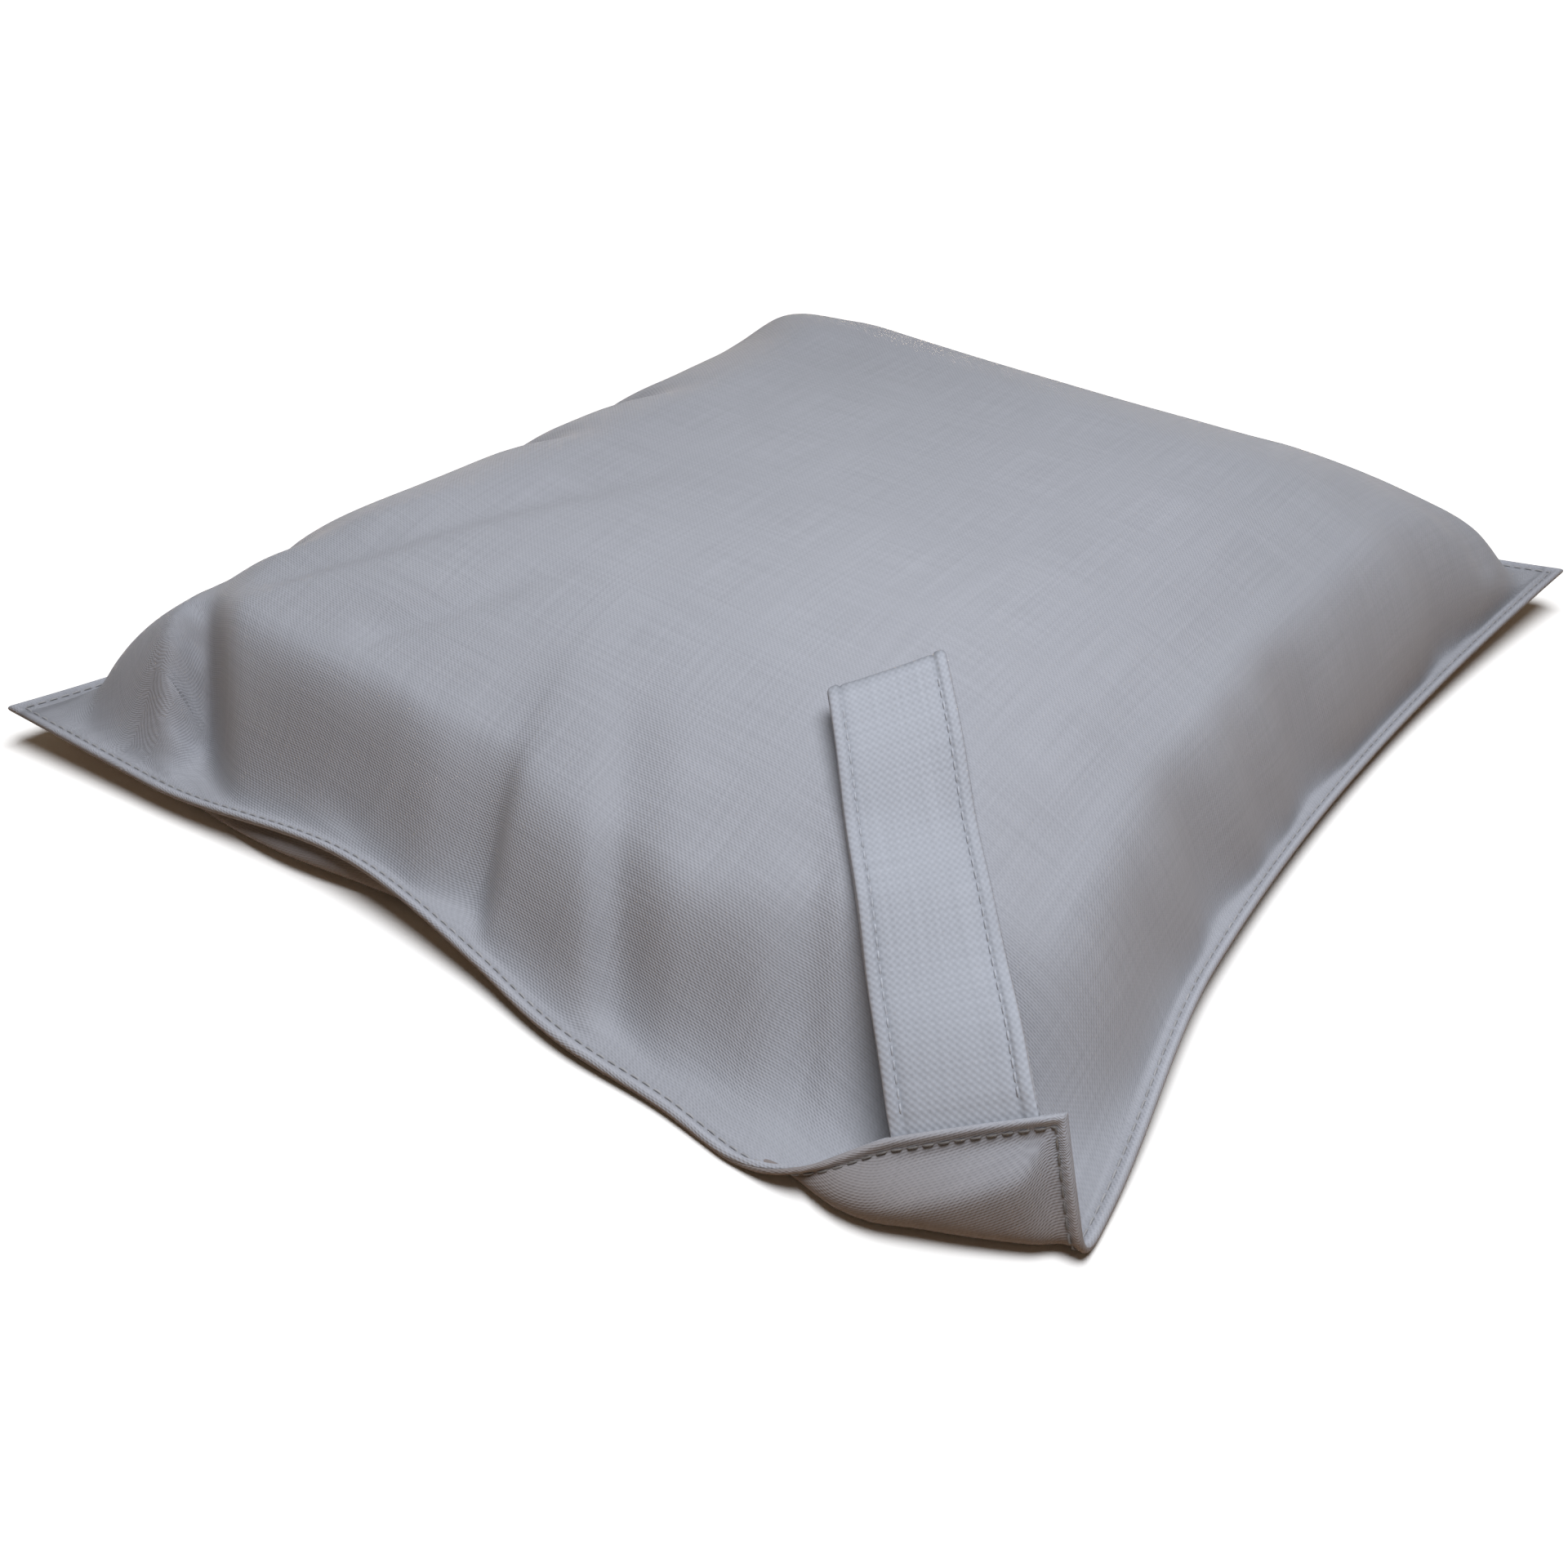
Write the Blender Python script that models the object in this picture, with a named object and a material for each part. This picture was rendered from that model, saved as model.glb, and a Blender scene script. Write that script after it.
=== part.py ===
"""Flat filled cloth sack with a pull loop sewn into its edge, one corner turned up.

Metres, +Z up. The sack lies on the floor plane z = 0 and the middle of its plan box is the origin.
A place on a cloth panel is given by two shares, p from the left edge to the right edge and q from
the front edge to the back edge, and by a height z above the floor before the corner is turned up.
"""
from functools import cache

import bmesh
import bpy
import numpy as np
from mathutils import Vector

# Finished sack
SACK_WIDTH = 0.400
SACK_DEPTH = 0.420
SACK_HEIGHT = 0.076
CLOTH = 0.0006
CLEARANCE = 0.0003

# Each edge is drawn in by the filling, most at its middle
FRONT_DRAW = 0.010
RIGHT_DRAW = 0.021
BACK_DRAW = 0.006
LEFT_DRAW = 0.0176
BACK_LEFT_PULL_X = 0.0112
BACK_LEFT_PULL_Y = 0.003
TURNED_REACH_X = 0.002
TURNED_REACH_Y = 0.019

# Waves of the two near edges: place from the edge's start, reach each way, draw-in and lift
FRONT_WAVES = (
    (0.150, 0.085, 0.0055, 0.008),
    (0.248, 0.040, -0.0030, 0.0),
)
RIGHT_WAVES = ((0.062, 0.080, -0.0050, 0.0),)
WAVE_FADE = 0.120

# Sewn edge: a flat lip of two plies outside the topstitch row
LIP_WIDTH = 0.006
LIP_GAP = 0.0004
STITCH_INSET = 0.0045
SEAM_RISE = 0.006
UNDER_RUN = 0.030
UNDER_POWER = 2.0

# Crown of the filled sack: share of the height at the steep foot, run of the gentle rise above it and
# flare of the foot, under 1 round and over 1 flat at the lip; at the start and the end of each edge
FOOT_RUN = 0.034
RISE_POWER = 2.0
LEFT_RISE = ((0.247, 0.077, 0.5), (0.282, 0.106, 0.5))
RIGHT_RISE = ((0.32, 0.140, 1.6), (0.56, 0.095, 0.5))
FRONT_RISE = ((0.60, 0.110, 2.0), (0.12, 0.130, 2.0))
BACK_RISE = ((0.077, 0.083, 0.5), (0.378, 0.102, 0.5))

# Tucks, where the filled face stands back from the lip: place along the edge, shift of the place per
# metre inwards, depth, and reach before and after the place
TUCK_FADE = 0.110
FRONT_TUCKS = (
    (0.082, -0.68, 0.010, 0.006, 0.030),
    (0.200, -0.30, 0.008, 0.026, 0.008),
    (0.261, -0.75, 0.008, 0.009, 0.026),
    (0.329, -0.62, 0.007, 0.016, 0.010),
)
RIGHT_TUCKS = (
    (0.162, -0.09, 0.003, 0.022, 0.026),
    (0.235, -0.12, 0.003, 0.026, 0.030),
    (0.342, -0.26, 0.003, 0.026, 0.030),
)
LEFT_TUCKS = (
    (0.070, 0.20, 0.004, 0.014, 0.012),
    (0.182, 0.27, 0.012, 0.016, 0.018),
    (0.232, 0.32, 0.012, 0.016, 0.018),
)

# Flat unfilled ears at three corners: lift of the seam, flat length and run up to the full height
EAR_REACH = 0.120
EAR_POWER = 2.0
FRONT_LEFT_EAR = (0.009, 0.012, 0.027)
BACK_RIGHT_EAR = (0.012, 0.0112, 0.0296)
BACK_LEFT_EAR = (0.007, 0.006, 0.022)

# Fourth corner, turned up about a line from the front edge to the right edge
TURN_ALONG_FRONT = 0.094
TURN_ALONG_RIGHT = 0.049
TURN_ANGLE = np.radians(131.0)
TURN_SKEW = np.radians(7.0)
TURN_RADIUS_FRONT = 0.0056
TURN_RADIUS_RIGHT = 0.005
TURN_RUN = 0.055

# Filling; its top looks for the lowest cloth within a window, given in shares of the panel
FILL_INSET = 0.012
FILL_GAP = 0.0010
FILL_FLOOR_GAP = 0.0004
FILL_CORNER_ROUND = 0.55
FILL_WINDOW = 0.025
FILL_WINDOW_STEPS = 5

# Pull loop: a stitched strip folded in half, its two ends caught in the front seam
LOOP_WIDTH = 0.038
LOOP_LENGTH = 0.118
LOOP_SLANT = np.radians(12.0)
LOOP_FROM_LIP = 0.002
LOOP_PLY = 0.0012
LOOP_PLY_GAP = 0.0008
LOOP_EYE = 0.0036
LOOP_EYE_RUN = 0.012
LOOP_END_LIFT = 0.004
LOOP_LIFT_FROM = 0.075
LOOP_TWIST_RUN = 0.060
LOOP_REST = 0.0005
TAIL_DEPTH = 0.012
TAIL_PLIES = 0.0012

# Thread
THREAD = 0.0008
LOOP_STITCH_INSET = 0.004
LOOP_STITCH_ENDS = 0.004

# Faces: steps along a panel edge, along the loop and round a thread
TAIL_STEPS = 4
TURN_STEPS = 3
MIDDLE_STEPS = 7
LEFT_STEPS = 14
BACK_STEPS = 10
EDGE_CROWDING = 1.3
LEAST_STEP = 0.0005
LOOP_STEPS = 16
LOOP_ACROSS = 6
LOOP_BEND_STEPS = 3
FILL_STEPS = 18
THREAD_SIDES = 6
SHARP_ANGLE = np.radians(50.0)

# Points that are measured and not built
BOX_SAMPLES = 201
PLAN_ROUNDS = 12

# Colours, red, green and blue, and roughness
CLOTH_FINISH = ((0.36, 0.37, 0.39), 0.6)
LOOP_FINISH = ((0.42, 0.44, 0.46), 0.6)
THREAD_FINISH = ((0.25, 0.25, 0.26), 0.5)
FILL_FINISH = ((0.78, 0.77, 0.74), 0.9)


def clear_scene():
    """Remove every object, so that the script can be run again."""
    for item in list(bpy.data.objects):
        bpy.data.objects.remove(item, do_unlink=True)


def ease(t):
    """Share that leaves 0 and reaches 1 without a kink."""
    t = np.clip(t, 0.0, 1.0)
    return t * t * (3.0 - 2.0 * t)


def swell(distance, run, power):
    """Share of full height at a distance from an edge, rising fast and then levelling off."""
    return 1.0 - (1.0 - np.clip(distance / run, 0.0, 1.0)) ** power


def rise(distance, along, shape):
    """Share of full height of a stuffed edge: a steep foot added to a longer parabola. The foot's share,
    the parabola's run and the foot's flare go from the first three to the last three along the edge."""
    share = ease(along)
    foot, run, flare = (first + (last - first) * share for first, last in zip(*shape))
    steep = swell(distance, FOOT_RUN, RISE_POWER) ** flare
    return foot * steep + (1.0 - foot) * swell(distance, run, RISE_POWER)


def tuck(table, along, across):
    """Depth of an edge's tucks at a place along the edge and a distance in from it, where they fade."""
    fade = 1.0 - ease(across / TUCK_FADE)
    depth = 0.0
    for place, shift, most, before, after in table:
        past = along - place - shift * across
        depth = depth + most * (1.0 - ease(np.abs(past) / np.where(past < 0.0, before, after)))
    return depth * fade


def unit(v):
    """Vectors of an array scaled to length 1."""
    v = np.asarray(v, float)
    return v / np.linalg.norm(v, axis=-1, keepdims=True)


def wave(table, along, across):
    """Draw-in and lift of an edge's waves, at a place along the edge and a distance in from it."""
    fade = np.clip(1.0 - across / WAVE_FADE, 0.0, 1.0) ** 2
    draw = 0.0
    lift = 0.0
    for place, reach, most_draw, most_lift in table:
        share = fade * ease(1.0 - np.abs(along - place) / reach)
        draw = draw + most_draw * share
        lift = lift + most_lift * share
    return draw, lift


def plan(p, q):
    """Plan place of a panel point: a rectangle whose edges bow inwards and whose corners shift."""
    bow_p = 4.0 * p * (1.0 - p)
    bow_q = 4.0 * q * (1.0 - q)
    back_left = (1.0 - p) * q
    front_right = (p * (1.0 - q)) ** 4
    x = SACK_WIDTH * (p - 0.5) + bow_q * (LEFT_DRAW * (1.0 - p) - RIGHT_DRAW * p)
    y = SACK_DEPTH * (q - 0.5) + bow_p * (FRONT_DRAW * (1.0 - q) - BACK_DRAW * q)
    x = x + BACK_LEFT_PULL_X * back_left + TURNED_REACH_X * front_right
    y = y + BACK_LEFT_PULL_Y * back_left - TURNED_REACH_Y * front_right
    x = x - wave(RIGHT_WAVES, q * SACK_DEPTH, (1.0 - p) * SACK_WIDTH)[0]
    y = y + wave(FRONT_WAVES, p * SACK_WIDTH, q * SACK_DEPTH)[0]
    return x, y


def past_turn(p, q):
    """Distance of a flat panel point beyond the line that the corner is turned about."""
    share = (1.0 - p) * SACK_WIDTH / TURN_ALONG_FRONT + q * SACK_DEPTH / TURN_ALONG_RIGHT
    return (1.0 - share) / np.hypot(1.0 / TURN_ALONG_FRONT, 1.0 / TURN_ALONG_RIGHT)


def turn_radius(p, q):
    """Radius of the turned corner's bend, from its front end to its right end."""
    across = TURN_ALONG_FRONT - (1.0 - p) * SACK_WIDTH
    along = TURN_ALONG_FRONT * across + TURN_ALONG_RIGHT * q * SACK_DEPTH
    share = np.clip(along / (TURN_ALONG_FRONT**2 + TURN_ALONG_RIGHT**2), 0.0, 1.0)
    return TURN_RADIUS_FRONT + (TURN_RADIUS_RIGHT - TURN_RADIUS_FRONT) * share


def turn_normal():
    """Level direction from the line that the corner is turned about towards the flat corner."""
    bearing = np.arctan2(-1.0 / TURN_ALONG_RIGHT, 1.0 / TURN_ALONG_FRONT) - TURN_SKEW
    return np.cos(bearing), np.sin(bearing)


def tail_sides():
    """Distances of the loop's two sides from the right edge, along the front edge."""
    near = LIP_WIDTH + LOOP_FROM_LIP
    return near, near + LOOP_WIDTH


def tail_opening(p, q):
    """Extra gap between the panels where the loop's ends are caught in the seam, 1 at the tail."""
    from_corner = (1.0 - p) * SACK_WIDTH
    near, far = tail_sides()
    right = ease(from_corner / near)
    left = 1.0 - ease((from_corner - far) / TAIL_DEPTH)
    inward = 1.0 - ease((q * SACK_DEPTH - TAIL_DEPTH) / TAIL_DEPTH)
    return right * left * inward


def inner_faces(p, q):
    """Heights of the panels' facing sides: the lower panel's top and the upper panel's underside."""
    left = p * SACK_WIDTH
    right = SACK_WIDTH - left
    front = q * SACK_DEPTH
    back = SACK_DEPTH - front
    inside = [np.maximum(d - LIP_WIDTH, 0.0) for d in (left, right, front, back)]
    faces = (
        (inside[0], front, q, LEFT_TUCKS, LEFT_RISE),
        (inside[1], front, q, RIGHT_TUCKS, RIGHT_RISE),
        (inside[2], left, p, FRONT_TUCKS, FRONT_RISE),
        (inside[3], left, p, (), BACK_RISE),
    )
    crown = 1.0
    for across, along, share, tucks, shape in faces:
        stands_at = np.maximum(across - tuck(tucks, along, across), 0.0)
        crown = crown * rise(stands_at, share, shape)
    edge = 1.0 - np.prod([swell(d, UNDER_RUN, UNDER_POWER) for d in inside], axis=0)

    beyond = past_turn(p, q)
    least = THREAD + 2.0 * CLEARANCE
    seam = least + (SEAM_RISE - least) * (1.0 - ease(1.0 + beyond / TURN_RUN))
    crown = crown * ease(-beyond / TURN_RUN)
    ears = (
        (left, front, FRONT_LEFT_EAR),
        (right, back, BACK_RIGHT_EAR),
        (left, back, BACK_LEFT_EAR),
    )
    for along, across, (lift, flat, run) in ears:
        diagonal = (along + across) / np.sqrt(2.0)
        seam = seam + lift * np.clip(1.0 - diagonal / EAR_REACH, 0.0, 1.0) ** 2
        crown = crown * swell(diagonal - flat, run, EAR_POWER)

    seam = seam + wave(FRONT_WAVES, left, front)[1] + wave(RIGHT_WAVES, front, right)[1]
    opening = TAIL_PLIES + 2.0 * CLEARANCE - LIP_GAP
    low = CLOTH + seam * edge
    rim = CLOTH + seam + LIP_GAP + opening * tail_opening(p, q)
    high = rim + (SACK_HEIGHT - CLOTH - rim) * crown
    return low, high


def turned(p, q, z):
    """World place of a panel point: beyond the turn line the sheet rolls up round a cylinder."""
    x, y = plan(p, q)
    beyond = past_turn(p, q)
    radius = turn_radius(p, q)
    angle = np.clip(beyond / radius, 0.0, TURN_ANGLE)
    straight = np.maximum(beyond - radius * TURN_ANGLE, 0.0)
    out = (radius - z) * np.sin(angle) + straight * np.cos(angle)
    up = radius - (radius - z) * np.cos(angle) + straight * np.sin(angle)
    shift = np.where(beyond > 0.0, out - beyond, 0.0)
    normal = turn_normal()
    height = np.where(beyond > 0.0, up, z)
    place = np.stack([x + normal[0] * shift, y + normal[1] * shift, height], -1)
    return place - plan_middle()


@cache
def plan_middle():
    """Middle of the sack's plan box, from points all along its four edges."""
    t = np.linspace(0.0, 1.0, BOX_SAMPLES)
    zero = np.zeros_like(t)
    one = np.ones_like(t)
    edge_p = np.concatenate([t, one, t, zero])
    edge_q = np.concatenate([zero, t, one, t])
    x, y = plan(edge_p, edge_q)
    flat = past_turn(edge_p, edge_q) <= 0.0
    corner_x = x[flat].max()
    corner_y = y[flat].min()
    return np.array([0.5 * (x.min() + corner_x), 0.5 * (corner_y + y.max()), 0.0])


def spread(start, end, steps):
    """Distances from start to end, closer together near the start; the end itself is left out."""
    return start + (end - start) * (np.arange(steps) / steps) ** EDGE_CROWDING


def in_order(*groups):
    """Distances of all groups in rising order, without those that crowd the one before."""
    values = np.sort(np.concatenate(groups))
    return values[np.concatenate([[True], np.diff(values) > LEAST_STEP])]


def panel_lines():
    """Shares p and q of the grid lines of both panels, set close at the lip, the tail and the turn."""
    half_width = 0.5 * SACK_WIDTH
    half_depth = 0.5 * SACK_DEPTH
    lip = [0.0, STITCH_INSET, LIP_WIDTH]
    tail = np.linspace(*tail_sides(), TAIL_STEPS + 1)
    per_metre = TURN_ANGLE * np.hypot(1.0 / TURN_ALONG_FRONT, 1.0 / TURN_ALONG_RIGHT)
    front_turn = np.linspace(1.0 - TURN_RADIUS_FRONT * per_metre, 1.0, TURN_STEPS + 1) * TURN_ALONG_FRONT
    right_turn = np.linspace(1.0 - TURN_RADIUS_RIGHT * per_metre, 1.0, TURN_STEPS + 1) * TURN_ALONG_RIGHT
    tail_end = [TAIL_DEPTH, 2.0 * TAIL_DEPTH]
    past_right = spread(TURN_ALONG_FRONT, half_width, MIDDLE_STEPS)
    past_front = spread(TURN_ALONG_RIGHT, half_depth, MIDDLE_STEPS + 1)
    right = in_order(lip, tail, front_turn, past_right)
    front = in_order(lip, tail_end, right_turn, past_front)
    left = in_order(lip, spread(LIP_WIDTH, half_width, LEFT_STEPS))
    back = in_order(lip, spread(LIP_WIDTH, half_depth, BACK_STEPS))
    p = np.concatenate([left / SACK_WIDTH, [0.5], (1.0 - right / SACK_WIDTH)[::-1]])
    q = np.concatenate([front / SACK_DEPTH, [0.5], (1.0 - back / SACK_DEPTH)[::-1]])
    return p, q


def between_lines(p, q):
    """Heights of the panels' facing sides as built, flat from one grid line to the next."""
    lines_p, lines_q = panel_lines()
    i = np.clip(np.searchsorted(lines_p, p) - 1, 0, len(lines_p) - 2)
    j = np.clip(np.searchsorted(lines_q, q) - 1, 0, len(lines_q) - 2)
    u = (p - lines_p[i]) / (lines_p[i + 1] - lines_p[i])
    v = (q - lines_q[j]) / (lines_q[j + 1] - lines_q[j])
    heights = []
    for z in inner_faces(*np.meshgrid(lines_p, lines_q, indexing="ij")):
        front = (1.0 - u) * z[i, j] + u * z[i + 1, j]
        back = (1.0 - u) * z[i, j + 1] + u * z[i + 1, j + 1]
        heights.append((1.0 - v) * front + v * back)
    return heights


def principled(name, finish):
    """Cloth, thread or filling material of one colour and roughness."""
    colour, roughness = finish
    material = bpy.data.materials.new(name)
    material.use_nodes = True
    shader = material.node_tree.nodes["Principled BSDF"]
    shader.inputs["Base Color"].default_value = (*colour, 1.0)
    shader.inputs["Roughness"].default_value = roughness
    shader.inputs["Metallic"].default_value = 0.0
    return material


def add_solid(name, points, faces, material, parent=None):
    """Named object from points and faces, its faces pointing outwards."""
    points = np.asarray(points, float).reshape(-1, 3)
    if parent is not None:
        points = points - np.array(parent.location)
    mesh = bpy.data.meshes.new(name)
    mesh.from_pydata([tuple(v) for v in points], [], faces)
    shape = bmesh.new()
    shape.from_mesh(mesh)
    bmesh.ops.recalc_face_normals(shape, faces=shape.faces)
    shape.to_mesh(mesh)
    shape.free()
    mesh.shade_smooth()
    mesh.set_sharp_from_angle(angle=SHARP_ANGLE)
    mesh.materials.append(material)
    item = bpy.data.objects.new(name, mesh)
    item.parent = parent
    bpy.context.scene.collection.objects.link(item)


def slab(top, bottom):
    """Closed solid between two grids of points: both faces in triangles, and a rim round them."""
    rows, columns = top.shape[:2]
    count = rows * columns
    index = np.arange(count).reshape(rows, columns)
    a = index[:-1, :-1].ravel()
    b = index[1:, :-1].ravel()
    c = index[1:, 1:].ravel()
    d = index[:-1, 1:].ravel()
    upper = np.concatenate([np.stack([a, b, c], -1), np.stack([a, c, d], -1)])
    lower = (upper + count)[:, ::-1]
    rim = np.concatenate([index[:, 0], index[-1, 1:], index[-2::-1, -1], index[0, -2:0:-1]])
    rim_next = np.roll(rim, -1)
    first_half = np.stack([rim, rim + count, rim_next + count], -1)
    second_half = np.stack([rim, rim_next + count, rim_next], -1)
    points = np.concatenate([top.reshape(-1, 3), bottom.reshape(-1, 3)])
    return points, np.concatenate([upper, lower, first_half, second_half]).tolist()


def tube(path, up, closed):
    """Round thread along a path; up gives the side that the first corner of its section faces."""
    if closed:
        ahead = unit(np.roll(path, -1, 0) - path)
        along = unit(ahead + np.roll(ahead, 1, 0))
    else:
        along = unit(np.gradient(path, axis=0))
    side = unit(np.cross(along, up))
    over = np.cross(side, along)
    turn = 2.0 * np.pi * np.arange(THREAD_SIDES) / THREAD_SIDES
    ring = side[:, None] * np.cos(turn)[None, :, None] + over[:, None] * np.sin(turn)[None, :, None]
    points = path[:, None] + 0.5 * THREAD * ring
    index = np.arange(len(path) * THREAD_SIDES).reshape(len(path), THREAD_SIDES)
    ahead = np.roll(index, -1, 0)
    beside = np.roll(index, -1, 1)
    faces = np.stack([index, ahead, np.roll(ahead, -1, 1), beside], -1)
    if closed:
        return points.reshape(-1, 3), faces.reshape(-1, 4).tolist()
    caps = [index[0, ::-1].tolist(), index[-1].tolist()]
    return points.reshape(-1, 3), faces[:-1].reshape(-1, 4).tolist() + caps


def build_panels(cloth):
    """Upper and lower cloth panels, one ply each, lying on each other at the lip."""
    p, q = np.meshgrid(*panel_lines(), indexing="ij")
    low, high = inner_faces(p, q)
    inner = turned(p, q, high)
    normal = unit(np.cross(np.gradient(inner, axis=0), np.gradient(inner, axis=1)))
    points, faces = slab(inner + CLOTH * normal, inner)
    add_solid("upper_panel", points, faces, cloth)
    points, faces = slab(turned(p, q, low), turned(p, q, low - CLOTH))
    add_solid("lower_panel", points, faces, cloth)


def build_filling(stuffing):
    """Loose filling: it holds the room between the panels, with rounded corners clear of the ears."""
    t = np.linspace(-1.0, 1.0, FILL_STEPS + 1)
    t = np.sign(t) * (1.0 - (1.0 - np.abs(t)) ** EDGE_CROWDING)
    u, v = np.meshgrid(t, t, indexing="ij")
    across = u * np.sqrt(1.0 - 0.5 * FILL_CORNER_ROUND * v * v)
    along = v * np.sqrt(1.0 - 0.5 * FILL_CORNER_ROUND * u * u)
    inset = LIP_WIDTH + FILL_INSET
    p = 0.5 + across * (0.5 - inset / SACK_WIDTH)
    q = 0.5 + along * (0.5 - inset / SACK_DEPTH)
    low, _ = between_lines(p, q)
    offset = np.linspace(-FILL_WINDOW, FILL_WINDOW, FILL_WINDOW_STEPS)
    high = np.min([between_lines(p + a, q + b)[1] for a in offset for b in offset], axis=0)
    from_ends = np.minimum(p, 1.0 - p) * SACK_WIDTH
    from_front = np.minimum(q, 1.0 - q) * SACK_DEPTH
    from_side = np.minimum(from_ends, from_front)
    on_floor = ease((from_side - LIP_WIDTH - UNDER_RUN) / UNDER_RUN)
    bottom = low + FILL_GAP + (FILL_FLOOR_GAP - FILL_GAP) * on_floor
    top = np.maximum(high - FILL_GAP, bottom + CLOTH)
    points, faces = slab(turned(p, q, top), turned(p, q, bottom))
    add_solid("filling", points, faces, stuffing)


def stitch_row():
    """Shares p and q of the topstitch row, once round the sack inside the edge of the lip."""
    p, q = (lines[1:-1] for lines in panel_lines())
    row_p = np.concatenate([p, np.full(len(q) - 2, p[-1]), p[::-1], np.full(len(q) - 2, p[0])])
    row_q = np.concatenate([np.full(len(p), q[0]), q[1:-1], np.full(len(p), q[-1]), q[-2:0:-1]])
    return row_p, row_q


def build_edge_threads(thread):
    """Needle thread on top of the lip and bobbin thread under it, along the topstitch row."""
    p, q = stitch_row()
    low, high = inner_faces(p, q)
    stand = CLEARANCE + 0.5 * THREAD
    heights = {
        "edge_needle_thread": high + CLOTH + stand,
        "edge_bobbin_thread": low - CLOTH - stand,
    }
    for name, z in heights.items():
        path = turned(p, q, z)
        up = turned(p, q, z + THREAD) - path
        points, faces = tube(path, up, closed=True)
        add_solid(name, points, faces, thread)


def build_tail(strip):
    """Sewn-in ends of the pull loop, flat between the panels and flush with the edge of the lip."""
    p, q = panel_lines()
    from_corner = (1.0 - p) * SACK_WIDTH
    slack = 0.5 * LEAST_STEP
    near, far = tail_sides()
    across = (from_corner > near - slack) & (from_corner < far + slack)
    along = q * SACK_DEPTH < TAIL_DEPTH + slack
    p, q = np.meshgrid(p[across], q[along], indexing="ij")
    low, _ = inner_faces(p, q)
    bottom = low + CLEARANCE
    points, faces = slab(turned(p, q, bottom + TAIL_PLIES), turned(p, q, bottom))
    add_solid("loop_tail", points, faces, strip)


def sack_top(x, y):
    """Height of the upper panel's outside over a plan place, away from the turned-up corner."""
    middle_x, middle_y, _ = plan_middle()
    p = x / SACK_WIDTH + 0.5
    q = y / SACK_DEPTH + 0.5
    for _ in range(PLAN_ROUNDS):
        there_x, there_y = plan(p, q)
        p = np.clip(p + (x + middle_x - there_x) / SACK_WIDTH, 0.0, 1.0)
        q = np.clip(q + (y + middle_y - there_y) / SACK_DEPTH, 0.0, 1.0)
    return inner_faces(p, q)[1] + CLOTH


def loop_axis():
    """Hinge line of the loop: middle point just above the lip edge, and direction to the corner."""
    near, far = tail_sides()
    ends = 1.0 - np.array([far, near]) / SACK_WIDTH
    rim = np.zeros(2)
    low, _ = inner_faces(ends, rim)
    height = low + CLEARANCE + 0.5 * TAIL_PLIES
    edge = turned(ends, rim, height)
    inside = turned(ends, rim + LIP_WIDTH / SACK_DEPTH, height)
    out = unit((edge - inside).mean(0))
    stand = 0.5 * LOOP_PLY_GAP + LOOP_PLY + CLEARANCE
    return edge.mean(0) + out * stand, unit(edge[1] - edge[0])


def half_gaps(reach):
    """Half the gap between the folded strip's plies: narrow, and wider where it bends at its end."""
    eye = ease(1.0 - (LOOP_LENGTH - reach) / LOOP_EYE_RUN)
    return 0.5 * (LOOP_PLY_GAP + (LOOP_EYE - LOOP_PLY_GAP) * eye)


def over_the_top(x, y):
    """Upper hull of a line of points: the path of a strip that spans the hollows under it."""
    kept = [0]
    for i in range(1, len(x)):
        while len(kept) > 1:
            a, b = kept[-2], kept[-1]
            if (y[b] - y[a]) * (x[i] - x[a]) > (y[i] - y[a]) * (x[b] - x[a]):
                break
            kept.pop()
        kept.append(i)
    return np.interp(x, x[kept], y[kept])


def loop_line():
    """Middle line of the folded strip and the strip's width direction, from its root to its end."""
    middle, hinge = loop_axis()
    bearing = np.arctan2(hinge[1], hinge[0]) + LOOP_SLANT
    level = np.array([np.cos(bearing), np.sin(bearing), 0.0])
    inward = np.array([-level[1], level[0], 0.0])
    reach = np.linspace(0.0, LOOP_LENGTH, LOOP_STEPS + 1)
    twist = ease(reach / LOOP_TWIST_RUN)[:, None]
    width = unit(hinge * (1.0 - twist) + level * twist)
    across = np.linspace(-0.5, 0.5, LOOP_ACROSS + 1) * LOOP_WIDTH
    ground = middle + inward * reach[:, None, None] + width[:, None] * across[None, :, None]
    stand = half_gaps(reach) + LOOP_PLY + LOOP_REST
    needed = (sack_top(ground[..., 0], ground[..., 1]) - ground[..., 2]).max(1) + stand
    needed[0] = 0.0
    height = over_the_top(reach, needed)
    height = height + LOOP_END_LIFT * ease((reach - LOOP_LIFT_FROM) / (LOOP_LENGTH - LOOP_LIFT_FROM))
    line = middle + inward * reach[:, None] + np.array([0.0, 0.0, 1.0]) * height[:, None]
    return line, width


def loop_faces(line, width):
    """Outer and inner side of the strip along one run: root, free end, and back to the root."""
    along = unit(np.gradient(line, axis=0))
    over = unit(np.cross(width, along))
    over = over * np.sign(over[:, 2:3])
    half_gap = half_gaps(np.linspace(0.0, LOOP_LENGTH, len(line)))[:, None]
    turn = np.linspace(0.5 * np.pi, -0.5 * np.pi, LOOP_BEND_STEPS + 2)[1:-1, None]
    bend = np.cos(turn) * along[-1] + np.sin(turn) * over[-1]
    runs = []
    for stand in (half_gap + LOOP_PLY, half_gap):
        above = line + over * stand
        below = line - over * stand
        runs.append(np.concatenate([above, line[-1] + bend * stand[-1], below[::-1]]))
    run_width = np.concatenate([width, np.repeat(width[-1:], LOOP_BEND_STEPS, 0), width[::-1]])
    return *runs, run_width, over, half_gap


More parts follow.
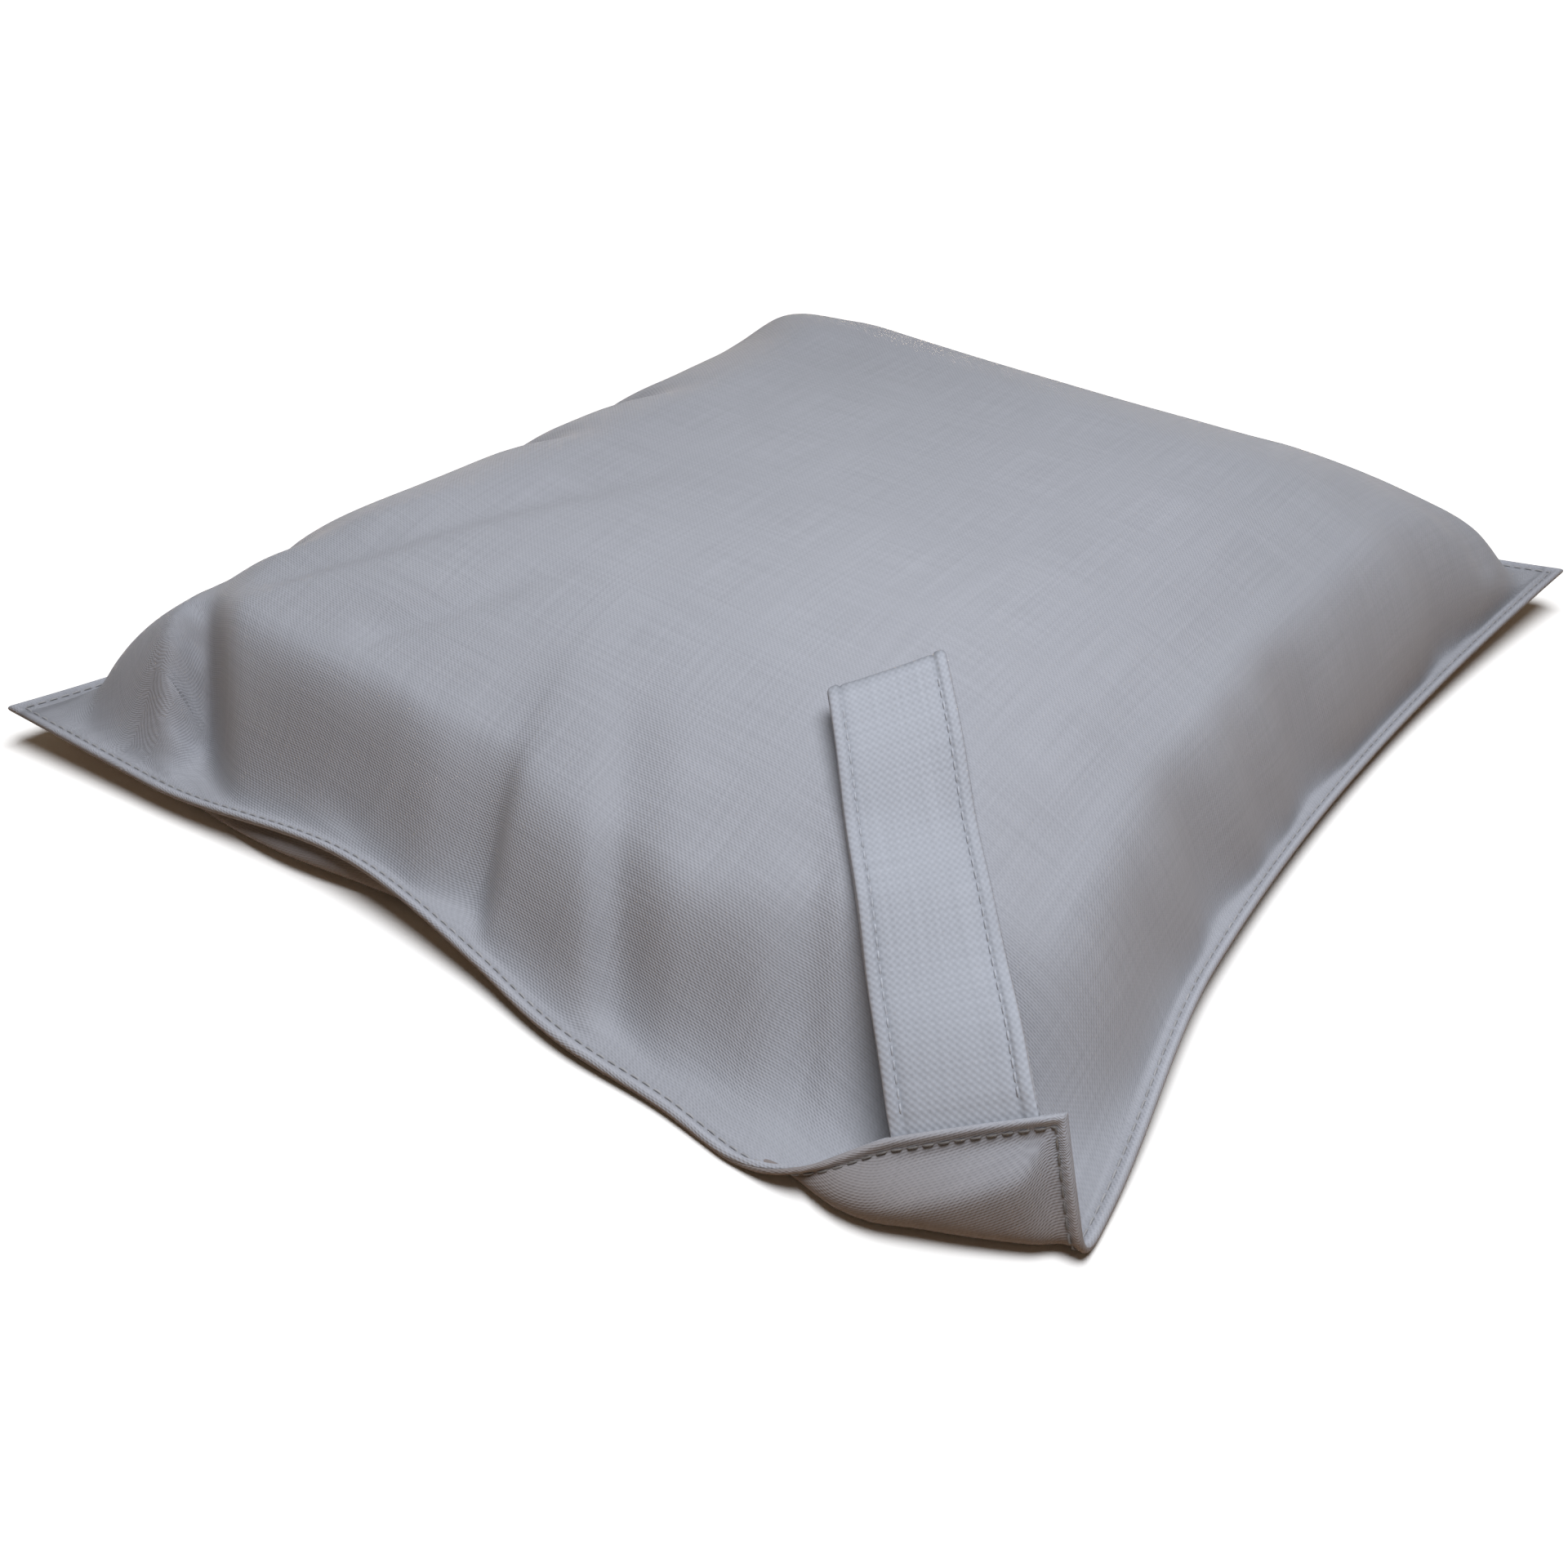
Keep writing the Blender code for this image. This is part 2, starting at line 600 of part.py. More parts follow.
def build_loop(strip, thread):
    """Pull loop and its two stitch rows, hung on an empty that lies on the hinge line."""
    middle, _ = loop_axis()
    hinge = bpy.data.objects.new("loop_hinge", None)
    hinge.location = Vector(middle)
    bpy.context.scene.collection.objects.link(hinge)

    line, width = loop_line()
    outer, inner, run_width, over, half_gap = loop_faces(line, width)
    across = np.linspace(-0.5, 0.5, LOOP_ACROSS + 1) * LOOP_WIDTH
    top = outer[:, None] + run_width[:, None] * across[None, :, None]
    bottom = inner[:, None] + run_width[:, None] * across[None, :, None]
    points, faces = slab(top, bottom)
    add_solid("pull_loop", points, faces, strip, hinge)

    reach = np.linspace(0.0, LOOP_LENGTH, len(line))
    sewn = (reach > LOOP_STITCH_ENDS) & (reach < LOOP_LENGTH - LOOP_STITCH_ENDS)
    surface = line + over * (half_gap + LOOP_PLY + CLEARANCE + 0.5 * THREAD)
    inset = 0.5 * LOOP_WIDTH - LOOP_STITCH_INSET
    for name, side in (("loop_left_thread", -inset), ("loop_right_thread", inset)):
        points, faces = tube((surface + width * side)[sewn], over[sewn], closed=False)
        add_solid(name, points, faces, thread, hinge)


def main():
    """Build the sack and its pull loop."""
    clear_scene()
    cloth = principled("satin_cloth", CLOTH_FINISH)
    strip = principled("loop_strip", LOOP_FINISH)
    thread = principled("sewing_thread", THREAD_FINISH)
    stuffing = principled("loose_filling", FILL_FINISH)
    build_panels(cloth)
    build_filling(stuffing)
    build_edge_threads(thread)
    build_tail(strip)
    build_loop(strip, thread)


main()
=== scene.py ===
"""Looks of a flat filled cloth sack with a pull loop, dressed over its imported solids.

Metres, +Z up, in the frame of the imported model. A place on a cloth panel is two shares, p from the
left edge to the right edge and q from the front edge to the back edge, and a height z above the floor
before the front right corner is turned up.
"""

import bpy
import numpy as np
from mathutils import Matrix


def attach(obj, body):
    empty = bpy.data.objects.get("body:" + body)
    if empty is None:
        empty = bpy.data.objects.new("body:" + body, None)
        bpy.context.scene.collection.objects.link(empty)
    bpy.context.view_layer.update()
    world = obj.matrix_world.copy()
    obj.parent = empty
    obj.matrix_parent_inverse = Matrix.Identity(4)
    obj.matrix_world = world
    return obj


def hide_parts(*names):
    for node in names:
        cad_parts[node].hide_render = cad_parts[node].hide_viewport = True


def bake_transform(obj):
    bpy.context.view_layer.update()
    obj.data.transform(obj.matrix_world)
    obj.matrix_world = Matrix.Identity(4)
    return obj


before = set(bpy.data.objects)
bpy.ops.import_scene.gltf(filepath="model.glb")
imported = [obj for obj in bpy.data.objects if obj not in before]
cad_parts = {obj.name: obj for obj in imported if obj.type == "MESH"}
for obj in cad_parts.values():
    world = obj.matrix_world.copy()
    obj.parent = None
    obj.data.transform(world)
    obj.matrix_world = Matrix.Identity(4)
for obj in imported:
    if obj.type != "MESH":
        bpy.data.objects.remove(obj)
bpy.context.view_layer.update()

# Finished sack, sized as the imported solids; the crown, tucks, lip and loop below are shaped further
SACK_WIDTH = 0.400
SACK_DEPTH = 0.420
SACK_HEIGHT = 0.076
CLOTH = 0.0006
PLAN_MIDDLE_Y = 0.0015

# Each edge is drawn in by the filling, most at its middle
FRONT_DRAW = 0.010
RIGHT_DRAW = 0.021
BACK_DRAW = 0.006
LEFT_DRAW = 0.0176
BACK_LEFT_PULL_X = 0.0112
BACK_LEFT_PULL_Y = 0.003
TURNED_REACH_X = 0.002
TURNED_REACH_Y = 0.019

# Waves of the two near edges: place from the edge's start, reach each way, draw-in and lift
FRONT_WAVES = (
    (0.150, 0.085, 0.0055, 0.008),
    (0.248, 0.040, -0.0030, 0.0),
)
RIGHT_WAVES = ((0.062, 0.080, -0.0050, 0.0),)
WAVE_FADE = 0.120

# Sewn edge: rounded lip of folded-in plies outside the topstitch row
LIP_PUFF = 0.0016
LIP_PUFF_AT = 0.0016
STITCH_INSET = 0.0034
STITCH_GROOVE = 0.0004
LIP_WIDTH = 0.006
SEAM_LEAST = 0.0016
SEAM_RISE = 0.0068
UNDER_RUN = 0.030
UNDER_POWER = 2.0

# Crown of the filled sack: share of the height at the steep foot, run of the gentle rise above it and
# flare of the foot, under 1 round and over 1 flat at the lip; at the start and the end of each edge
FOOT_RUN = 0.034
RISE_POWER = 2.0
LEFT_RISE = ((0.247, 0.077, 0.5), (0.282, 0.106, 0.5))
RIGHT_RISE = ((0.32, 0.140, 1.6), (0.56, 0.095, 0.5))
FRONT_RISE = ((0.60, 0.110, 2.0), (0.05, 0.160, 2.0))
BACK_RISE = ((0.077, 0.083, 0.5), (0.378, 0.102, 0.5))

# Tucks, where the filled face stands back from the lip: place along the edge, shift of the place per
# metre inwards, depth, and reach before and after the place
TUCK_FADE = 0.110
FRONT_TUCKS = (
    (0.073, -0.68, 0.018, 0.005, 0.026),
    (0.200, -0.30, 0.008, 0.026, 0.008),
    (0.261, -0.75, 0.008, 0.009, 0.026),
    (0.329, -0.62, 0.007, 0.016, 0.010),
)
RIGHT_TUCKS = (
    (0.162, -0.09, 0.003, 0.022, 0.026),
    (0.235, -0.12, 0.003, 0.026, 0.030),
    (0.342, -0.26, 0.003, 0.026, 0.030),
)
LEFT_TUCKS = (
    (0.070, 0.20, 0.004, 0.014, 0.012),
    (0.168, 0.27, 0.020, 0.012, 0.018),
    (0.220, 0.32, 0.020, 0.012, 0.018),
)

# Flat ears: lift of the seam, flat length along the diagonal, and run up to the full height
EAR_REACH = 0.120
FRONT_LEFT_EAR = (0.009, 0.012, 0.027)
BACK_RIGHT_EAR = (0.012, 0.0112, 0.0296)
BACK_LEFT_EAR = (0.007, 0.006, 0.022)
EAR_POWER = 2.0

# Fourth corner, turned up about a line from the front edge to the right edge
TURN_ALONG_FRONT = 0.094
TURN_ALONG_RIGHT = 0.046
TURN_ANGLE = np.radians(131.0)
TURN_SKEW = np.radians(7.0)
TURN_RADIUS_FRONT = 0.0056
TURN_RADIUS_RIGHT = 0.0042
TURN_RUN = 0.055
FLAP_STRETCH = 1.16
FLAP_KINK = 0.0047
KINK_AT = 0.048
KINK_REACH = 0.046
KINK_RUN = 0.022

# Belly of the lower panel: place along the front edge, reach and push; then the turned corner's
FRONT_BELLY = (0.125, 0.100, 0.015)
BELLY_RUN = 0.030
TURN_BELLY = 0.0145
TURN_BELLY_RUN = 4.0
TURN_BELLY_FROM = 0.16
TURN_SPREAD = 0.0045
SPREAD_RUN = 0.012
BELLY_RIM = 0.006

# Nose of the lower panel under the lip where the turn begins: place, reach, run inwards, push and lift
NOSE_AT = 0.338
NOSE_REACH = 0.026
NOSE_RUN = 0.020
NOSE_PUSH = 0.002
NOSE_LIFT = 0.003

# Creases of the upper panel, and a ridge of depth below 0: path in shares, depth, reach left and right
CREASE_FADE = 0.8
CREASE_START = 0.15
LEAST_RISE = 1e-6
RIDGE_FROM = 0.016
CREASES = (
    (((0.150, 0.105), (0.220, 0.200), (0.270, 0.300), (0.345, 0.445)), 0.0045, 0.020, 0.010),
    (((0.285, 0.105), (0.330, 0.165), (0.362, 0.212), (0.400, 0.280)), 0.0038, 0.014, 0.008),
    (((0.085, 0.905), (0.150, 0.825), (0.270, 0.735)), -0.0060, 0.026, 0.026),
    (((0.085, -0.012), (0.040, 0.045), (-0.060, 0.170)), 0.0030, 0.004, 0.006),
    (((0.075, 0.175), (0.110, 0.195), (0.170, 0.230)), 0.0030, 0.012, 0.014),
    (((0.975, 0.900), (0.930, 0.895), (0.880, 0.870)), 0.0035, 0.012, 0.012),
    (((0.990, 0.480), (0.945, 0.473), (0.910, 0.470)), 0.0035, 0.012, 0.014),
    (((0.350, 0.020), (0.355, 0.050), (0.365, 0.090)), 0.0030, 0.018, 0.014),
    (((0.725, 0.020), (0.705, 0.055), (0.690, 0.090)), 0.0030, 0.014, 0.018),
)

# Pull loop: a stitched strip folded in half, its two ends caught in the front seam
LOOP_WIDTH = 0.038
LOOP_LENGTH = 0.118
LOOP_BEARING = np.radians(43.7)
LOOP_TAPER = (0.99, 0.92)
LOOP_FROM_LIP = 0.002
LOOP_PLY = 0.0012
LOOP_PLY_GAP = 0.0008
LOOP_EYE = 0.0030
LOOP_EYE_RUN = 0.014
LOOP_END_LIFT = 0.0030
LOOP_LIFT_FROM = 0.075
LOOP_TWIST_RUN = 0.060
LOOP_REST = 0.0006
LOOP_RIPPLE = 0.0013
LOOP_RIPPLE_RUN = 0.039
LOOP_END_TWIST = np.radians(9.0)
LOOP_END_SKEW = 0.0080
TAIL_DEPTH = 0.012
TAIL_OPENING = 0.0022
TAIL_SQUEEZE = 0.35
TAIL_FREE = 0.006
TAIL_STOP = 0.002

# Steps of the strip along the loop, across it, along its tail and round its fold, and how many of those
# along the loop have no stitches at its root and at its fold
LOOP_STEPS = 61
LOOP_ACROSS = 9
TAIL_STEPS = 5
FOLD_STEPS = 9
UNSEWN_AT_ROOT = 2
UNSEWN_AT_FOLD = 3

# Thread: a stitch's half length as a share of its pitch, its stand over the cloth and its dive at both
# ends as shares of the thread, and the square of the share of its thickness that is left at the tips
THREAD = 0.0007
EDGE_STITCH_PITCH = 0.004
LOOP_STITCH_PITCH = 0.0036
LOOP_STITCH_INSET = 0.004
STITCH_HALF = 0.44
STITCH_STAND = 0.55
STITCH_DIVE = 0.75
STITCH_TIP = 0.05
STITCH_RINGS = 6
STITCH_SIDES = 6

# Strip's profile from an edge inwards: distance from the edge and height of the outer side, with the
# hem band, the groove of the stitch row and the plain middle
LOOP_GROOVE = 0.00045
STRIP_MIDDLE = 0.00060
STRIP_PROFILE = (
    (0.0, 0.0),
    (0.0004, 0.00075),
    (0.0012, 0.00120),
    (0.0026, 0.00130),
    (0.0034, 0.00110),
    (LOOP_STITCH_INSET, LOOP_GROOVE),
    (0.0046, 0.00065),
    (0.0056, 0.00085),
    (0.0080, 0.00070),
    (0.0120, STRIP_MIDDLE),
)

# Painted shading of the lip, its painted groove shade's spread as a share of the stitch inset, and of the
# strip: painted highlight on the pale edge, painted shade along each stitch row's groove and on the fold
GROOVE_SHARE = 0.3
HEM_CREST = 0.001
HEM_SHADE = 0.8
HEM_SHADE_RUN = 0.0009
FOLD_SHADE = 4.0
FOLD_SHADE_RUN = 0.0024

# Grid lines of a panel: distances from an edge across the lip, then even steps
LIP_LINES = np.array([
    0.0, 0.0002, 0.0007, 0.0016, 0.0026, 0.0034, 0.0042,
    0.0051, 0.0060, 0.0073, 0.0090, 0.0112, 0.0140, 0.0170,
])
STITCH_LINE = int(np.argmin(np.abs(LIP_LINES - STITCH_INSET)))
FINE_STEP = 0.0033
COARSE_STEP = 0.0050
FINE_ALONG_FRONT = 0.110
FINE_ALONG_RIGHT = 0.075

# Least length to divide by, and rounds of the search for a place on the settled cloth
TINY = 1e-12
PLACE_ROUNDS = 15

# Cloth settling on its filling, from ripples of noise smoothed that many times
SETTLE_ROUNDS = 400
EDGE_SLACK = 0.022
SLACK_RUN = 0.060
FILLING_PUSH = 0.004
CLOTH_BEND = 0.03
PLIES = 0.0014
RIPPLE_START = 0.0012
RIPPLE_SMOOTHING = 12
SEED = 7

# Loose filling: grid lines and their crowding at the rim, distance in from the edges, rounding of the
# corners, window over which the top takes the lowest room, gaps to both panels and least thickness
FILLING_LINES = 41
FILLING_CROWD = 1.5
FILLING_INSET = 0.018
FILLING_ROUND = 0.275
FILLING_WINDOW = 0.025
FILLING_WINDOW_STEPS = 5
FILLING_BELOW = 0.0022
FILLING_ABOVE = 0.0016
FILLING_LEAST = 0.0004

# Colours, linear red, green and blue; the painted shade that darkens and browns the lower panel towards the
# floor is a share of the unshaded colour
PANEL_COLOUR = (0.378, 0.386, 0.410)
STRIP_COLOUR = (0.402, 0.420, 0.452)
# Painted shade: the lower panel is darkened and browned towards the floor by this share, up to this height
PAINTED_SHADE_TINT = (0.66, 0.57, 0.50)
PAINTED_SHADE_HEIGHT = 0.032
NEEDLE_COLOUR = (0.340, 0.338, 0.340)
STRIP_THREAD_COLOUR = (0.385, 0.400, 0.428)
BOBBIN_COLOUR = (0.130, 0.118, 0.108)
FILLING_COLOUR = (0.780, 0.770, 0.740)

# Weave: pitch of the threads, contrast of colour and height of the relief
PANEL_WEAVE = (0.0015, 0.05, 0.00006)
STRIP_WEAVE = (0.0021, 0.07, 0.00006)
TWILL_RISE = 0.6
TWILL_THREADS = 0.5

# Cloth: gloss, then scales and strengths of the slubs, of the slow changes of shade and of the painted
# highlights and shade
CLOTH_ROUGHNESS = 0.58
CLOTH_SPECULAR = 0.08
CLOTH_SHEEN = 0.05
CLOTH_SHEEN_ROUGHNESS = 0.45
SLUBS_ACROSS = 900.0
SLUBS_ALONG = 24.0
SLUB_DETAIL = 1.0
SLUB_SHADE = 0.09
SLUB_RELIEF = 0.35
SLOW_SCALE = 14.0
SLOW_DETAIL = 3.0
SLOW_SHADE = 0.07
PAINTED_LIGHT_STRENGTH = 0.16

# Thread and fibre: roughness, then scale, detail and contrast of the changes of shade
THREAD_FINISH = (0.55, 320.0, 1.0, 0.35)
THREAD_SHEEN = 0.1
FIBRE_FINISH = (0.9, 60.0, 4.0, 0.15)

# Floor, world and lamp
FLOOR_SIZE = 12.0
FLOOR_DROP = 0.0004
FLOOR_WHITE = (0.970, 0.955, 0.900)
FLOOR_GAIN = 1.14
FLOOR_BOUNCE = (0.480, 0.300, 0.170)
AMBIENT = (1.0, 0.76, 0.55)
AMBIENT_STRENGTH = 0.06
WORLD_WHITE = (1.0, 1.0, 1.0)
KEY_COLOUR = (0.96, 0.99, 1.07)
KEY_POWER = 6.1
KEY_SIZE = 0.50
KEY_PLACE = (0.17, -0.15, 0.76)

# Camera, solved from the photograph's outline
CAMERA_AZIMUTH = np.radians(35.5)
CAMERA_ELEVATION = np.radians(36.7)
CAMERA_ROLL = np.radians(1.0)
CAMERA_PLACE = (0.2815, -0.4308, 0.3310)
CAMERA_LENS = 37.5
CAMERA_SENSOR = 36.0
CAMERA_NEAR = 0.01


def ease(t):
    """Share that leaves 0 and reaches 1 without a kink: 3 t squared less 2 t cubed."""
    t = np.clip(t, 0.0, 1.0)
    return t * t * (3.0 - 2.0 * t)


def swell(distance, run, power):
    """Share of full height at a distance from an edge, rising fast and then levelling off."""
    return 1.0 - (1.0 - np.clip(distance / run, 0.0, 1.0)) ** power


def rise(distance, along, shape):
    """Share of full height of a stuffed edge: a steep foot added to a longer parabola. The foot's share,
    the parabola's run and the foot's flare go from the first three to the last three along the edge."""
    share = ease(along)
    foot, run, flare = (first + (last - first) * share for first, last in zip(*shape))
    steep = swell(distance, FOOT_RUN, RISE_POWER) ** flare
    return foot * steep + (1.0 - foot) * swell(distance, run, RISE_POWER)


def tuck(table, along, across):
    """Depth of an edge's tucks at a place along the edge and a distance in from it, where they fade."""
    fade = 1.0 - ease(across / TUCK_FADE)
    depth = 0.0
    for place, shift, most, before, after in table:
        past = along - place - shift * across
        depth = depth + most * (1.0 - ease(np.abs(past) / np.where(past < 0.0, before, after)))
    return depth * fade


def unit(v):
    """Vectors of an array scaled to length 1."""
    v = np.asarray(v, float)
    return v / np.maximum(np.linalg.norm(v, axis=-1, keepdims=True), TINY)


def wave(table, along, across):
    """Draw-in and lift of an edge's waves, at a place along the edge and a distance in from it."""
    fade = np.clip(1.0 - across / WAVE_FADE, 0.0, 1.0) ** 2
    draw = 0.0
    lift = 0.0
    for place, reach, most_draw, most_lift in table:
        share = fade * ease(1.0 - np.abs(along - place) / reach)
        draw = draw + most_draw * share
        lift = lift + most_lift * share
    return draw, lift


def plan(p, q):
    """Plan place of a panel point: a rectangle whose edges bow inwards and whose corners shift."""
    bow_p = 4.0 * p * (1.0 - p)
    bow_q = 4.0 * q * (1.0 - q)
    back_left = (1.0 - p) * q
    front_right = (p * (1.0 - q)) ** 4
    x = SACK_WIDTH * (p - 0.5) + bow_q * (LEFT_DRAW * (1.0 - p) - RIGHT_DRAW * p)
    y = SACK_DEPTH * (q - 0.5) + bow_p * (FRONT_DRAW * (1.0 - q) - BACK_DRAW * q)
    x = x + BACK_LEFT_PULL_X * back_left + TURNED_REACH_X * front_right
    y = y + BACK_LEFT_PULL_Y * back_left - TURNED_REACH_Y * front_right
    x = x - wave(RIGHT_WAVES, q * SACK_DEPTH, (1.0 - p) * SACK_WIDTH)[0]
    y = y + wave(FRONT_WAVES, p * SACK_WIDTH, q * SACK_DEPTH)[0]
    return x, y - PLAN_MIDDLE_Y


def past_turn(p, q):
    """Distance of a flat panel point beyond the line that the corner is turned about."""
    share = (1.0 - p) * SACK_WIDTH / TURN_ALONG_FRONT + q * SACK_DEPTH / TURN_ALONG_RIGHT
    return (1.0 - share) / np.hypot(1.0 / TURN_ALONG_FRONT, 1.0 / TURN_ALONG_RIGHT)


def turn_share(p, q):
    """Place along the line of the turn, 0 at the front edge and 1 at the right edge."""
    across = TURN_ALONG_FRONT - (1.0 - p) * SACK_WIDTH
    along = TURN_ALONG_FRONT * across + TURN_ALONG_RIGHT * q * SACK_DEPTH
    return np.clip(along / (TURN_ALONG_FRONT**2 + TURN_ALONG_RIGHT**2), 0.0, 1.0)


def turn_bearing():
    """Level bearing from the line that the corner is turned about towards the flat corner."""
    return np.arctan2(-1.0 / TURN_ALONG_RIGHT, 1.0 / TURN_ALONG_FRONT) - TURN_SKEW


def turned(p, q, z):
    """World place of a panel point: beyond the turn line the sheet rolls up round a cylinder."""
    x, y = plan(p, q)
    beyond = past_turn(p, q)
    radius = TURN_RADIUS_FRONT + (TURN_RADIUS_RIGHT - TURN_RADIUS_FRONT) * turn_share(p, q)
    angle = np.clip(beyond / radius, 0.0, TURN_ANGLE)
    straight = FLAP_STRETCH * np.maximum(beyond - radius * TURN_ANGLE, 0.0)
    out = (radius - z) * np.sin(angle) + straight * np.cos(angle)
    up = radius - (radius - z) * np.cos(angle) + straight * np.sin(angle)
    shift = np.where(beyond > 0.0, out - beyond, 0.0)
    bearing = turn_bearing()
    height = np.where(beyond > 0.0, up, z)
    kink = FLAP_KINK * np.clip(1.0 - np.abs((1.0 - p) * SACK_WIDTH - KINK_AT) / KINK_REACH, 0.0, 1.0)
    kink = kink * (1.0 - ease(q * SACK_DEPTH / KINK_RUN))
    shift = shift + kink * np.cos(TURN_ANGLE)
    height = height + kink * np.sin(TURN_ANGLE)
    return np.stack([x + np.cos(bearing) * shift, y + np.sin(bearing) * shift, height], -1)


def edge_distances(p, q):
    """Distances of a panel point from the left, right, front and back edge of the flat panel."""
    left = p * SACK_WIDTH
    front = q * SACK_DEPTH
    return left, SACK_WIDTH - left, front, SACK_DEPTH - front


def ears(p, q):
    """Diagonal distance from each flat corner, with that ear's lift, flat length and run."""
    left, right, front, back = edge_distances(p, q)
    corners = (
        (left, front, FRONT_LEFT_EAR),
        (right, back, BACK_RIGHT_EAR),
        (left, back, BACK_LEFT_EAR),
    )
    return [((a + b) / np.sqrt(2.0), ear) for a, b, ear in corners]


def seam_middle(p, q):
    """Height of the seam between the panels: least at the turned corner, more at waves and ears."""
    left, right, front, _ = edge_distances(p, q)
    beyond = past_turn(p, q)
    height = SEAM_LEAST + (SEAM_RISE - SEAM_LEAST) * (1.0 - ease(1.0 + beyond / TURN_RUN))
    for diagonal, (lift, _, _) in ears(p, q):
        height = height + lift * np.clip(1.0 - diagonal / EAR_REACH, 0.0, 1.0) ** 2
    return height + wave(FRONT_WAVES, left, front)[1] + wave(RIGHT_WAVES, front, right)[1]


def crown(p, q):
    """Share of the full height: a product of swells from the edges, the ears and the turn."""
    left, right, front, back = (np.maximum(d - LIP_WIDTH, 0.0) for d in edge_distances(p, q))
    faces = (
        (left, q * SACK_DEPTH, q, LEFT_TUCKS, LEFT_RISE),
        (right, q * SACK_DEPTH, q, RIGHT_TUCKS, RIGHT_RISE),
        (front, p * SACK_WIDTH, p, FRONT_TUCKS, FRONT_RISE),
        (back, p * SACK_WIDTH, p, (), BACK_RISE),
    )
    share = 1.0
    for across, along, part, tucks, shape in faces:
        stands_at = np.maximum(across - tuck(tucks, along, across), 0.0)
        share = share * rise(stands_at, part, shape)
    for diagonal, (_, flat, run) in ears(p, q):
        share = share * swell(diagonal - flat, run, EAR_POWER)
    return share * ease(-past_turn(p, q) / TURN_RUN)


def tail_sides():
    """Distances of the loop's two sides from the right edge, along the front edge."""
    near = LIP_WIDTH + LOOP_FROM_LIP
    return near, near + LOOP_WIDTH


def lip_half(p, q):
    """Half thickness of the sewn lip: half an ellipse, a groove at the stitch row, then plain cloth."""
    edge = np.minimum.reduce(edge_distances(p, q))
    round_part = LIP_PUFF * np.sqrt(np.clip(1.0 - (1.0 - edge / LIP_PUFF_AT) ** 2, 0.0, 1.0))
    fall = ease((edge - LIP_PUFF_AT) / (STITCH_INSET - LIP_PUFF_AT))
    half = np.where(edge < LIP_PUFF_AT, round_part, LIP_PUFF + (STITCH_GROOVE - LIP_PUFF) * fall)
    from_corner = (1.0 - p) * SACK_WIDTH
    near, far = tail_sides()
    beside = ease(from_corner / near) * (1.0 - ease((from_corner - far) / TAIL_DEPTH))
    inward = 1.0 - ease((q * SACK_DEPTH - TAIL_DEPTH) / TAIL_DEPTH)
    return half + 0.5 * TAIL_OPENING * beside * inward


def creases(p, q):
    """Depth of the creases at a panel point, deepest near the start of each path and fading out."""
    x = p * SACK_WIDTH
    y = q * SACK_DEPTH
    depth = np.zeros_like(x)
    for path, most, reach_left, reach_right in CREASES:
        points = np.array(path) * (SACK_WIDTH, SACK_DEPTH)
        steps = np.diff(points, axis=0)
        lengths = np.linalg.norm(steps, axis=1)
        starts = np.concatenate([[0.0], np.cumsum(lengths)])
        nearest = np.full(x.shape, np.inf)
        share = np.zeros_like(x)
        side = np.zeros_like(x)
        for (ax, ay), (dx, dy), length, start in zip(points, steps, lengths, starts):
            t = np.clip(((x - ax) * dx + (y - ay) * dy) / length**2, 0.0, 1.0)
            off_x = x - ax - t * dx
            off_y = y - ay - t * dy
            distance = np.hypot(off_x, off_y)
            closer = distance < nearest
            nearest = np.where(closer, distance, nearest)
            share = np.where(closer, (start + t * length) / starts[-1], share)
            side = np.where(closer, dx * off_y - dy * off_x, side)
        reach = np.where(side > 0.0, reach_left, reach_right)
        depth_here = most * ease(share / CREASE_START) * np.clip(1.0 - share, 0.0, 1.0) ** CREASE_FADE
        depth = depth + depth_here * (1.0 - ease(nearest / reach))
    return depth


def grid_lines(length, fine, fine_at_end):
    """Shares of a panel's grid lines: crowded across both lips, fine near the turned corner."""
    last = LIP_LINES[-1]
    fine_part = np.arange(last + FINE_STEP, fine, FINE_STEP)
    count = int(round((length - last - fine_part[-1]) / COARSE_STEP))
    rest = np.linspace(fine_part[-1], length - last, count + 1)[1:-1]
    lines = np.concatenate([LIP_LINES, fine_part, rest, (length - LIP_LINES)[::-1]]) / length
    return 1.0 - lines[::-1] if fine_at_end else lines


def normals(grid):
    """Unit normals of a grid of points: the cross product of its two gradients."""
    return unit(np.cross(np.gradient(grid, axis=0), np.gradient(grid, axis=1)))


def curving(field):
    """How far a grid's four neighbours lie from each inner point, added up: its second difference."""
    beside = field[:-2, 1:-1] + field[2:, 1:-1] + field[1:-1, :-2] + field[1:-1, 2:]
    return beside - 4.0 * field[1:-1, 1:-1]


